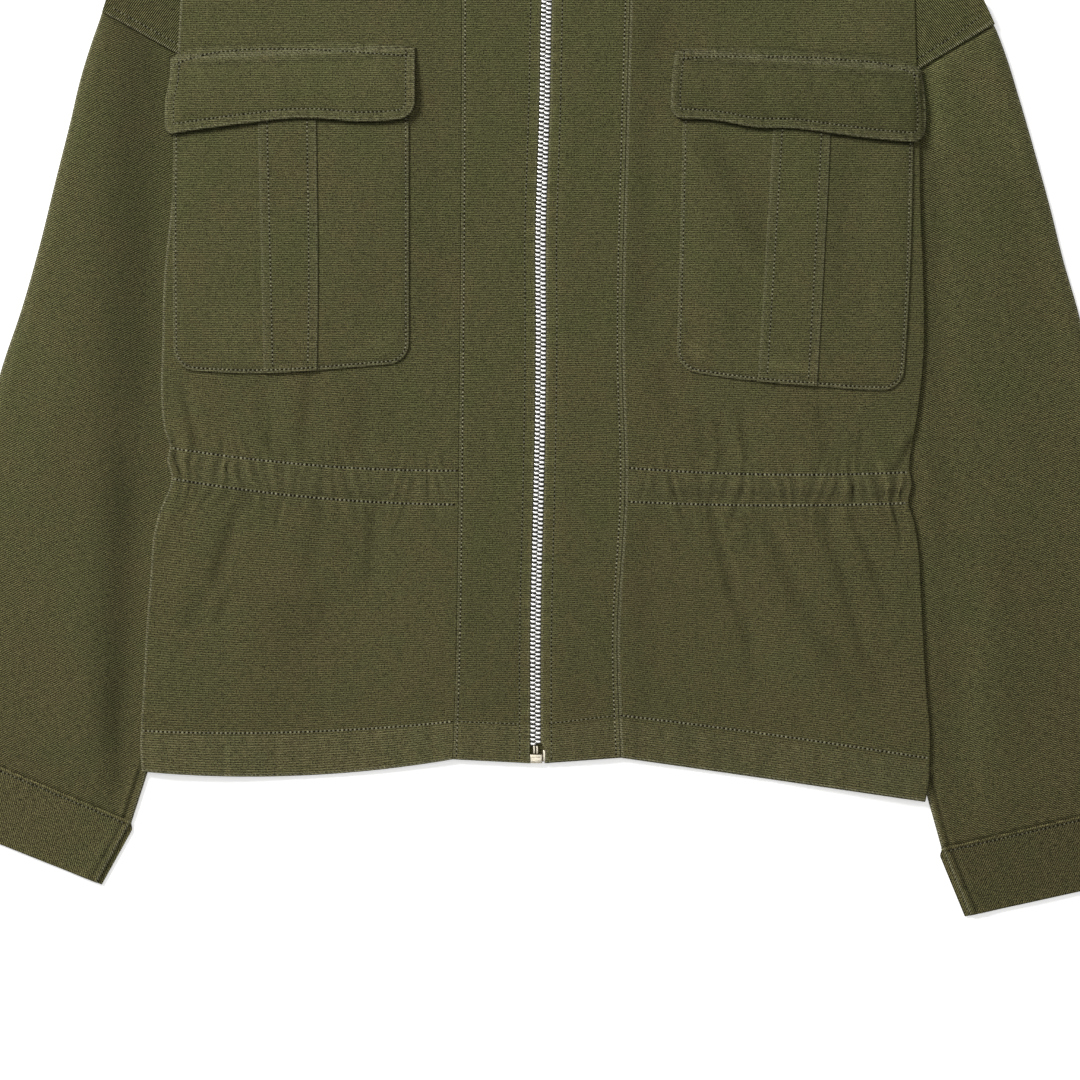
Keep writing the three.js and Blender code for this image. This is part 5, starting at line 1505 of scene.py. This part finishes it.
def pleat_rows(side):
    patch = PLEATS[side]
    rows = []
    down = np.linspace(0.02, 0.985, 220)
    for edge_share, inward in ((0.0, 1), (1.0, -1)):
        x, y = patch_point(side, patch, down, edge_share + 0 * down)
        x = x - inward * OUTWARD[side] * PLEAT_ROW
        z, _ = pleat_height(side, x, y)
        rows.append(stacked(x, y, z))
    share = np.linspace(0.03, 0.97, 60)
    x, y = patch_point(side, patch, 1 + 0 * share, share)
    y = y + POCKET_ROW
    z, _ = pleat_height(side, x, y)
    rows.append(stacked(x, y, z))
    return rows


def shoulder_row(side):
    share = np.linspace(0.1, 0.98, 90)
    down = np.maximum(1 - SHOULDER_ROW / mix(SHOULDER_OUTER_DEEP, SHOULDER_DEEP, share), 0.12)
    x, y = shoulder_point(side, down, share)
    return stacked(x, y, shoulder_height(x, y, down, share))


def cuff_row(side, below, under=False):
    share = np.linspace(0.01, 0.99, 200)
    outer, inner = cuff_lines(side, np.full(len(share), below / CUFF_DEEP))
    width = np.linalg.norm(inner - outer, axis=1)
    point = mix(outer, inner, share[:, None])
    z = 0 * share if under else cuff_top(share * width, width, below / CUFF_DEEP)
    return stacked(point[:, 0], point[:, 1], z)


def back_row(cloth_y):
    """A row across the back's underside where its grain has this height."""
    shares = np.linspace(0.006, 0.994, 500)
    grid_x, grid_y, grid_v = back_grid(shares[None, :])
    k = int(np.argmin(np.abs(grid_v[:, 0] - cloth_y)))
    z = back_surface(grid_x[k], grid_y[k], shares, grid_v[k])
    return stacked(grid_x[k], grid_y[k], z)


def collar_row(inset, under):
    stations = collar_stations()
    keep = stations[:, 2] < stations[:, 3] if under else stations[:, 2] > stations[:, 3] + 0.5
    stations = stations[keep]
    x, y, z = collar_grid(stations, inset / COLLAR_DEEP, True)
    return stacked(x, y, z)


def make_stitches(name, paths, under_paths, seed, thread, bold):
    random = np.random.default_rng(seed)
    frames = []
    for path in paths:
        frames.extend(stitch_frames(path, random, bold=bold))
    for path in under_paths:
        frames.extend(stitch_frames(path, random, under=True))
    piece = copies(name, STITCH_SHAPES, frames)
    piece.data.materials.append(FINISHES[thread])
    piece.data.materials.append(FINISHES["hole"])
    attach(piece, BODY)
    return piece


# The zip

def tape_grid(side, across, z):
    outward = OUTWARD[side]
    heights = np.arange(TAPE_TOP, ZIP_BOTTOM - 0.1, -2.0)[:, None]
    x = read(ZIP_LINE, heights) + outward * across[None, :]
    return stacked(x, heights, z[None, :]), stacked(x, heights + 0 * x)


def make_tape(side, finish):
    """Woven tape with a rounded cord along the edge that carries the teeth."""
    across = np.linspace(TAPE_FROM - 0.9, TAPE_TO, 15)
    cord = 0.55 * near(across - TAPE_FROM, 0.7)
    rounded = rounding(across - across[0], 0.5) + rounding(across[-1] - across, 0.5)
    top = TAPE_LOW + TAPE_THICK * 0.8 + cord - rounded
    outer, outer_uv = tape_grid(side, across, top)
    few = across[::7]
    inner, inner_uv = tape_grid(side, few, np.full(len(few), TAPE_LOW))
    outer, outer_uv, inner, inner_uv = left_to_right("left" if side == "right" else "right",
                                                     outer, outer_uv, inner, inner_uv)
    piece = shell(f"tape_{side}_cloth", outer, inner, outer_uv, inner_uv)
    return sew_on(piece, f"tape_{side}", finish)


def make_teeth(side, finish):
    """A row of teeth, each a short bar with rounded edges that follows the line of the zip."""
    outward = OUTWARD[side]
    tooth_size = (TOOTH_LONG, TOOTH_WIDE, TOOTH_HIGH)
    points, faces = template(lambda: bpy.ops.mesh.primitive_cube_add(size=1), tooth_size, TOOTH_BEVEL)
    frames = []
    count = int((TEETH_TOP - ZIP_BOTTOM) / TOOTH_PITCH)
    for k in range(count):
        y = ZIP_BOTTOM + (k + (0.3 if side == "right" else 0.8)) * TOOTH_PITCH
        middle = float(read(ZIP_LINE, y))
        slope = float(read(ZIP_LINE, y + 1)) - middle
        ahead = np.array((1.0, -slope, 0)) * outward
        across = np.array((slope, 1.0, 0)) * outward
        x = middle + outward * (TOOTH_LONG / 2 - TOOTH_PAST)
        frames.append((0, np.array((x, y, RAIL_TOP - TOOTH_HIGH / 2)), ahead, across, np.array((0, 0, 1.0))))
    piece = copies(f"zip_teeth_{side}", [(points, faces, 0)], frames)
    piece.data.materials.append(finish)
    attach(piece, BODY)
    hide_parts(f"teeth_{side}")
    return piece


def bevelled_block(name, centre, size, bevel, segments=3):
    """A block at its size and place in the frame, with rounded edges."""
    bpy.ops.object.select_all(action="DESELECT")
    bpy.ops.mesh.primitive_cube_add(size=1, location=tuple(place(centre)))
    piece = bpy.context.active_object
    piece.name = name
    piece.scale = tuple(value * MM for value in size)
    bpy.ops.object.transform_apply(location=True, rotation=False, scale=True)
    round_edges(bevel, segments)
    return piece


def joined(name, parts):
    bpy.ops.object.select_all(action="DESELECT")
    for part in parts:
        part.select_set(True)
    bpy.context.view_layer.objects.active = parts[0]
    if len(parts) > 1:
        bpy.ops.object.join()
    piece = bpy.context.active_object
    piece.name = name
    bpy.ops.object.transform_apply(location=True, rotation=True, scale=True)
    finish_smooth(piece, 40)
    return piece


def metal_piece(piece, node, finish, body=BODY):
    piece.data.materials.clear()
    piece.data.materials.append(finish)
    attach(piece, body)
    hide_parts(node)
    return piece


def node_box(node):
    low, high = (np.array([float(value) for value in corner]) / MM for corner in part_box(node))
    return low + (LAYOUT[0], LAYOUT[1], 0), high + (LAYOUT[0], LAYOUT[1], 0)


def make_zip_end(finish):
    """The retainer box at the bottom, the two pins that stand in it, and the lug beside it."""
    low, high = node_box("zip_box")
    centre, size = (low + high) / 2, high - low
    box = bevelled_block("box", centre, size, 0.55)
    rib_size = (size[0] * 0.72, 0.9, 0.5)
    parts = [box]
    for shift in (-1.4, 1.2):
        parts.append(bevelled_block("rib", (centre[0], centre[1] + shift, high[2]), rib_size, 0.2, 2))
    metal_piece(joined("zip_box_metal", parts), "zip_box", finish)
    low, high = node_box("zip_pin")
    pins = []
    for share in (0.24, 0.76):
        x = mix(low[0], high[0], share)
        size = ((high[0] - low[0]) * 0.4, high[1] - low[1], high[2] - low[2])
        pins.append(bevelled_block("pin", (x, (low[1] + high[1]) / 2, (low[2] + high[2]) / 2), size, 0.5))
    metal_piece(joined("zip_pin_metal", pins), "zip_pin", finish)
    low, high = node_box("zip_lug")
    lug = bevelled_block("lug", (low + high) / 2, high - low, 0.6)
    metal_piece(joined("zip_lug_metal", [lug]), "zip_lug", finish)


def make_slider(finish):
    """The slider: two plates on a neck, side flanges, and the bridge that holds the pull's bar."""
    low, high = node_box("zip_slider")
    middle_x, middle_y, _ = (low + high) / 2
    wide, long, _ = high - low
    # Each block's place from the slider's middle, its height on the jacket, its size and its bevel
    blocks = (
        ("plate", 0, 0, 5.1, (wide, long, 1.2), 0.5),
        ("under", 0, 0, 2.1, (wide * 0.66, long, 1.0), 0.4),
        ("neck", 0, long * 0.3, 3.5, (2.0, long * 0.36, 2.6), 0.4),
        ("flange", -3.9, 0, 4.3, (0.9, long * 0.9, 1.2), 0.3),
        ("leg", 0, -3.45, 7.2, (2.4, 1.1, 3.6), 0.3),
        ("flange", 3.9, 0, 4.3, (0.9, long * 0.9, 1.2), 0.3),
        ("leg", 0, 3.45, 7.2, (2.4, 1.1, 3.6), 0.3),
        ("bridge", 0, 0, 8.55, (2.4, 8.0, 1.1), 0.35),
    )
    parts = []
    for name, x, y, z, size, bevel in blocks:
        parts.append(bevelled_block(name, (middle_x + x, middle_y + y, z), size, bevel))
    return metal_piece(joined("zip_slider_metal", parts), "zip_slider", finish)


def make_pull(finish):
    """The pull tab: a flat frame with a window at its bar end and a rounded tip, with a raised rim."""
    low, high = node_box("zip_pull")
    middle_x, _, middle_z = (low + high) / 2
    half, thick = (high[0] - low[0]) / 2, high[2] - low[2]
    tongue_top, tongue_end = high[1] - 7.2, low[1] + half
    tongue_y, tongue_long = (tongue_top + tongue_end) / 2, tongue_top - tongue_end
    # Each block's place from the tab's middle line, its place along it, its size and its bevel
    blocks = (
        ("side", 0.7 - half, high[1] - 3.9, (1.4, 7.8, thick), 0.3),
        ("side", half - 0.7, high[1] - 3.9, (1.4, 7.8, thick), 0.3),
        ("bar", 0, high[1] - 0.6, (half * 2, thick, thick), 0.35),
        ("tongue", 0, tongue_y, (half * 2, tongue_long, thick * 0.8), 0.3),
        ("rim", 0.45 - half, tongue_y, (0.7, tongue_long, thick), 0.25),
        ("rim", half - 0.45, tongue_y, (0.7, tongue_long, thick), 0.25),
    )
    parts = []
    for name, x, y, size, bevel in blocks:
        parts.append(bevelled_block(name, (middle_x + x, y, middle_z), size, bevel))
    bpy.ops.object.select_all(action="DESELECT")
    bpy.ops.mesh.primitive_cylinder_add(
        vertices=40, radius=half * MM, depth=thick * 0.8 * MM,
        location=tuple(place((middle_x, tongue_end, middle_z))),
    )
    round_edges(0.28, 2)
    parts.append(bpy.context.active_object)
    return metal_piece(joined("zip_pull_metal", parts), "zip_pull", finish, body="pull")


# Finishes

class Value:
    """A socket of a finish, so that shader sums are written as Python sums."""

    def __init__(self, finish, socket):
        self.finish = finish
        self.socket = socket

    def calculate(self, operation, *values):
        inputs = dict(enumerate(values))
        return self.finish.node("ShaderNodeMath", {"operation": operation}, inputs)

    def __add__(self, other):
        return self.calculate("ADD", self, other)

    __radd__ = __add__

    def __sub__(self, other):
        return self.calculate("SUBTRACT", self, other)

    def __rsub__(self, other):
        return self.calculate("SUBTRACT", other, self)

    def __mul__(self, other):
        return self.calculate("MULTIPLY", self, other)

    __rmul__ = __mul__

    def __truediv__(self, other):
        return self.calculate("DIVIDE", self, other)

    def sine(self):
        return self.calculate("SINE", self)

    def within(self, low, high):
        return self.calculate("MINIMUM", self.calculate("MAXIMUM", self, low), high)


class Finish:
    """A material, and the one way in which its nodes are added."""

    def __init__(self, name):
        self.material = bpy.data.materials.new(name)
        self.material.use_nodes = True
        self.tree = self.material.node_tree
        self.shader = self.tree.nodes["Principled BSDF"]

    def node(self, kind, settings=None, inputs=None, output=0):
        made = self.tree.nodes.new(kind)
        for key, value in (settings or {}).items():
            setattr(made, key, value)
        for key, value in (inputs or {}).items():
            self.feed(made, key, value)
        return Value(self, made.outputs[output])

    def feed(self, made, key, value):
        if isinstance(value, Value):
            self.tree.links.new(value.socket, made.inputs[key])
        else:
            made.inputs[key].default_value = value

    def noise(self, vector, scale, detail=1.0, roughness=0.5):
        inputs = {"Vector": vector, "Scale": scale, "Detail": detail, "Roughness": roughness}
        return self.node("ShaderNodeTexNoise", None, inputs)

    def stretched(self, vector, across, along, turn=0.0):
        """The vector scaled so that a noise on it has cells of these sizes in millimetres."""
        inputs = {"Vector": vector, "Scale": (1 / across, 1 / along, 1), "Rotation": (0, 0, turn)}
        return self.node("ShaderNodeMapping", None, inputs)

    def blend(self, share, first, second):
        settings = {"data_type": "RGBA"}
        return self.node("ShaderNodeMix", settings, {0: share, 6: first, 7: second}, 2)

    def scaled(self, colour, value):
        return self.node("ShaderNodeVectorMath", {"operation": "SCALE"}, {0: colour, "Scale": value})

    def parts(self, vector):
        """The first two numbers of a vector."""
        split = self.node("ShaderNodeSeparateXYZ", None, {0: vector}).socket.node
        return Value(self, split.outputs[0]), Value(self, split.outputs[1])

    def attribute(self, name):
        return self.node("ShaderNodeAttribute", {"attribute_name": name}, None, "Fac")

    def where(self):
        """Places on the object, in metres."""
        return self.node("ShaderNodeTexCoord", None, None, "Object")

    def cloth(self):
        """Places on the piece's own cloth, in millimetres."""
        flat = self.node("ShaderNodeUVMap", {"uv_map": "cloth"})
        return self.node("ShaderNodeMapping", None, {"Vector": flat, "Scale": (1000, 1000, 1000)})

    def finished(self, inputs, height=None, strength=0.5, depth=0.1):
        """The material, once its shader has these inputs and a fine relief of this depth in millimetres."""
        for key, value in inputs.items():
            self.feed(self.shader, key, value)
        if height is not None:
            relief = {"Strength": strength, "Distance": depth * MM, "Height": height}
            self.feed(self.shader, "Normal", self.node("ShaderNodeBump", None, relief))
        return self.material


def canvas(name, weave, tone, brown, rib, grain, pitch, rim):
    """Garment-dyed cotton canvas with its weave, slubs, mottled dye and worn edges. The weave is a list of
    the sets of rows that it shows, each with its turn in degrees and its strength."""
    finish = Finish(name)
    cloth = finish.cloth()
    along, across = finish.parts(cloth)
    wander = finish.noise(finish.stretched(cloth, 14, 6), 1.0, 1.0)
    slub = finish.noise(finish.stretched(cloth, 4.6, 0.85), 1.0, 1.0)
    speck = finish.noise(finish.stretched(cloth, 0.95, 0.62), 1.0, 1.0)
    yarn = 0
    for turn, strength in weave:
        sine, cosine = math.sin(math.radians(turn)), math.cos(math.radians(turn))
        place_in_rows = along * sine + across * cosine + wander * 0.7
        yarn = (place_in_rows * (2 * math.pi / pitch)).sine() * strength + yarn
    yarn = yarn * (slub * 1.8 - 0.2)
    where = finish.where()
    mottle = finish.noise(where, 85.0, 2.0, 0.6)
    patch = finish.noise(where, 16.0, 2.0)
    up = finish.parts(where)[1]
    edge, border, fade = (finish.attribute(mark) for mark in MARKS)
    shade = (mottle * 1.1 + patch * 1.7 - up * 0.9 + (brown - 0.5) - 0.9).within(0, 1)
    colour = finish.blend(shade, GREEN, BROWN)
    pulls = ((along + across) * (2 * math.pi / STITCH)).sine() * 0.5 + 0.5
    rubbed = (1 - (edge - 1) * (edge - 1) * 0.9).within(0, 1) * (0.1 + pulls * 0.8) * rim
    rubbed = rubbed + border * (slub * 0.22 - 0.03)
    colour = finish.blend(rubbed.within(0, 1), colour, WORN)
    light = (1 + yarn * rib + ((slub - 0.5) * 1.1 + (speck - 0.5) * 3.4) * grain).within(0.05, 8)
    # The fade mark makes the cloth lighter or darker: paler or darker dye, and painted shade and highlights
    light = light * (fade + 1).within(0.4, 1.6) * (0.94 + mottle * 0.12)
    return finish.finished({
        "Base Color": finish.scaled(colour, light * tone),
        "Roughness": (0.93 - speck * 0.12).within(0, 1),
        "Specular IOR Level": 0.08,
    }, yarn * 0.5 + slub * 0.4 + speck * 0.5, depth=0.14)


def thread_finish(name, dark, pale):
    finish = Finish(name)
    where = finish.where()
    uneven = finish.noise(where, 400.0, 2.0)
    colour = finish.blend((uneven * 2.4 - 0.7).within(0, 1), dark, pale)
    inputs = {"Base Color": colour, "Roughness": (0.5 + uneven * 0.3).within(0, 1)}
    return finish.finished(inputs, uneven, depth=0.08)


# The needle holes are dark blobs: painted shade where the thread sinks into the cloth
def hole_shade_finish():
    finish = Finish("needle_hole_shade")
    where = finish.where()
    uneven = finish.noise(where, 600.0, 1.0)
    colour = finish.blend(uneven, (0.002, 0.0015, 0.001, 1), (0.014, 0.011, 0.005, 1))
    return finish.finished({"Base Color": colour, "Roughness": 0.95, "Specular IOR Level": 0.05})


def tape_finish():
    """Dark woven zip tape with a fine herringbone."""
    finish = Finish("zip_tape_weave")
    cloth = finish.cloth()
    across, along = finish.parts(cloth)
    ribs = ((along + (across * 1.6).sine() * 0.4) * (2 * math.pi / TAPE_PITCH)).sine()
    grain = finish.noise(finish.stretched(cloth, 0.6, 0.6), 1.0, 1.0)
    share = (ribs * 0.3 + grain * 0.6).within(0, 1)
    return finish.finished({
        "Base Color": finish.blend(share, (0.012, 0.013, 0.008, 1), (0.05, 0.05, 0.03, 1)),
        "Roughness": (0.85 + grain * 0.1).within(0, 1),
    }, ribs * 0.5 + grain, 0.6, 0.1)


def metal_finish(name, light, dark, rough):
    """Plated zip metal with handling marks."""
    finish = Finish(name)
    where = finish.where()
    marks = finish.noise(where, 700.0, 2.0, 0.6)
    dull = finish.noise(where, 60.0, 2.0)
    colour = finish.blend((marks * 0.6 + dull * 0.5 - 0.1).within(0, 1), dark, light)
    inputs = {"Base Color": colour, "Metallic": 1.0, "Roughness": (rough + marks * 0.18).within(0, 1)}
    return finish.finished(inputs, marks, 0.25, 0.05)


# Floor, light and camera

def make_camera():
    """Straight down over the hem, at a long lens."""
    data = bpy.data.cameras.new("camera")
    data.lens = LENS
    data.sensor_width = SENSOR
    camera = bpy.data.objects.new("camera", data)
    camera.location = (*CAMERA_AT, (SHOWN * LENS / SENSOR + 5) * MM)
    bpy.context.scene.collection.objects.link(camera)
    bpy.context.scene.camera = camera


def make_light(name, place_at, aim, size, power, colour=(1, 1, 1)):
    data = bpy.data.lights.new(name, "AREA")
    data.shape = "DISK"
    data.size = size
    data.energy = power
    data.color = colour
    light = bpy.data.objects.new(name, data)
    light.location = place_at
    across, down = math.hypot(aim[0] - place_at[0], aim[1] - place_at[1]), place_at[2] - aim[2]
    heading = math.atan2(aim[1] - place_at[1], aim[0] - place_at[0])
    light.rotation_euler = (math.atan2(across, down), 0, heading - math.pi / 2)
    bpy.context.scene.collection.objects.link(light)


def make_studio():
    finish = Finish("floor_white")
    where = finish.where()
    uneven = finish.noise(where, 1.4, 1.0)
    white = finish.finished({
        "Base Color": finish.blend(uneven, (0.9, 0.9, 0.9, 1), (0.93, 0.93, 0.925, 1)),
        "Roughness": 0.9,
        "Specular IOR Level": 0.1,
        "Emission Color": (1, 1, 1, 1),
        "Emission Strength": 0.38,
    })
    bpy.ops.object.select_all(action="DESELECT")
    bpy.ops.mesh.primitive_plane_add(size=40, location=(0, 0, -0.0004))
    floor = bpy.context.active_object
    floor.name = "floor"
    bpy.ops.object.transform_apply(location=True, rotation=False, scale=True)
    floor.data.materials.append(white)
    world = bpy.data.worlds.new("studio")
    world.use_nodes = True
    sky = world.node_tree.nodes["Background"]
    sky.inputs["Color"].default_value = (1, 1, 1, 1)
    sky.inputs["Strength"].default_value = WORLD_LIGHT
    bpy.context.scene.world = world
    make_light("key", (-2.3, 1.9, 2.3), (0, -0.1, 0), 1.5, KEY_POWER)
    make_light("overhead", (0, -0.1, 3.0), (0, -0.11, 0), 2.4, OVERHEAD_POWER)
    bpy.context.scene.view_settings.view_transform = "Standard"
    bpy.context.scene.view_settings.look = "None"


make_camera()
make_studio()

# Cloth finishes: the weave's sets of rows, tone, how brown, strength of the rows and of the grain, distance
# between rows, and how worn the edges are
CANVASES = {
    "body": (((0, 1),), 1.0, 0.55, 0.68, 1.1, RIB_PITCH, 1.0),
    "band": (((0, 1),), 1.0, 0.45, 0.68, 1.1, RIB_PITCH, 0.5),
    "pocket": (((0, 1),), 1.01, 0.5, 0.68, 1.1, RIB_PITCH, 0.35),
    "flap": (((0, 1),), 1.02, 0.5, 0.68, 1.1, RIB_PITCH, 0.5),
    "sleeve_right": (((-48, 0.9), (-5, 0.4)), 0.97, 0.55, 1.45, 1.1, TWILL_PITCH, 1.0),
    "sleeve_left": (((-5, 0.7), (-47, 0.7)), 0.96, 0.55, 1.65, 1.2, TWILL_PITCH, 1.0),
    "cuff": (((52, 1),), 0.98, 0.6, 1.1, 1.5, CUFF_PITCH, 1.0),
    "shoulder_right": (((-53, 1),), 0.37, 0.5, 8.0, 1.2, TWILL_PITCH, 1.0),
    "shoulder_left": (((50, 1),), 0.45, 0.5, 8.0, 1.2, TWILL_PITCH, 1.0),
}
FINISHES = {
    **{name: canvas(f"canvas_{name}", *looks) for name, looks in CANVASES.items()},
    "thread": thread_finish("sewing_thread", (0.05, 0.05, 0.022, 1), (0.15, 0.145, 0.08, 1)),
    "soft_thread": thread_finish("soft_sewing_thread", (0.045, 0.045, 0.02, 1), (0.22, 0.21, 0.12, 1)),
    "pale_thread": thread_finish("pale_sewing_thread", (0.05, 0.05, 0.023, 1), (0.3, 0.28, 0.17, 1)),
    "hole": hole_shade_finish(),
    "tape": tape_finish(),
    "teeth": metal_finish("zip_silver", (0.92, 0.91, 0.89, 1), (0.6, 0.59, 0.57, 1), 0.22),
    "nickel": metal_finish("zip_nickel", (0.74, 0.68, 0.55, 1), (0.5, 0.45, 0.35, 1), 0.3),
}
thread_points, thread_faces = template(ball(4), (0.62, 0.3, 0.6))
hole_points, hole_faces = template(ball(3), (0.95, 0.55, 0.22))
# The thread's poles are at its ends, so its points are turned to run ahead
STITCH_SHAPES = [(thread_points[:, [2, 0, 1]], thread_faces, 0), (hole_points, hole_faces, 1)]

make_back(FINISHES["body"])
for number, side in enumerate(SIDES):
    make_front(side, FINISHES["body"])
    make_band(side, FINISHES["band"])
    make_shoulder(side, FINISHES[f"shoulder_{side}"])
    make_sleeve(side, FINISHES[f"sleeve_{side}"])
    make_cuff(side, FINISHES["cuff"])
    make_tape(side, FINISHES["tape"])
    make_teeth(side, FINISHES["teeth"])
    front, pocket = f"front_{side}_cloth", f"pocket_{side}_cloth"
    make_patch("pocket", side, POCKETS[side], pocket_height, CLOTH, FINISHES["pocket"], [front], 1.7)
    make_patch("pleat", side, PLEATS[side], pleat_height, PLEAT_CLOTH, FINISHES["pocket"], [pocket], 1.7)
    make_patch("flap", side, FLAPS[side], flap_height, FLAP_CLOTH, FINISHES["flap"], [front, pocket], 1.2)
    casing_rows = [front_row(side, line) for line in (CASING_TOP_LINE, CASING_LOW_LINE)]
    pocket_row = patch_row(side, POCKETS[side], POCKET_ROW, pocket_height)
    flap_row = patch_row(side, FLAPS[side], FLAP_ROW, flap_height)
    under_cuff = cuff_row(side, CUFF_ROW - 0.3, under=True)
    # Rows that are sewn with one thread: name, first seed, thread, boldness, the rows on top and underneath
    sewing = (
        ("front", 10, "soft_thread", 1.35, [*casing_rows, front_row(side, HEM_LINE, 0.8)], []),
        ("band", 20, "pale_thread", 1, [band_row(side, BAND_ROW[side])], []),
        ("zip", 22, "thread", 1, [band_row(side, CLOTH_EDGE - ZIP_ROW), band_hem(side)], []),
        ("pocket", 30, "soft_thread", 1, [pocket_row, *pleat_rows(side)], []),
        ("flap", 40, "thread", 1, [flap_row, flap_top_row(side)], []),
        ("arm", 50, "thread", 1, [shoulder_row(side), cuff_row(side, CUFF_ROW)], [under_cuff]),
    )
    for part, seed, thread, bold, rows, under_rows in sewing:
        make_stitches(f"stitches_{part}_{side}", rows, under_rows, seed + number, thread, bold)
make_collar(FINISHES["band"])
back_rows = [back_row(at) for at in (*BACK_CASING_ROWS, BACK_HEM_ROW)]
make_stitches("stitches_back", [], back_rows, 60, "thread", 1)
collar_rows = [[collar_row(COLLAR_ROW, under)] for under in (False, True)]
make_stitches("stitches_collar", *collar_rows, 61, "thread", 1)
make_zip_end(FINISHES["nickel"])
make_slider(FINISHES["teeth"])
make_pull(FINISHES["teeth"])
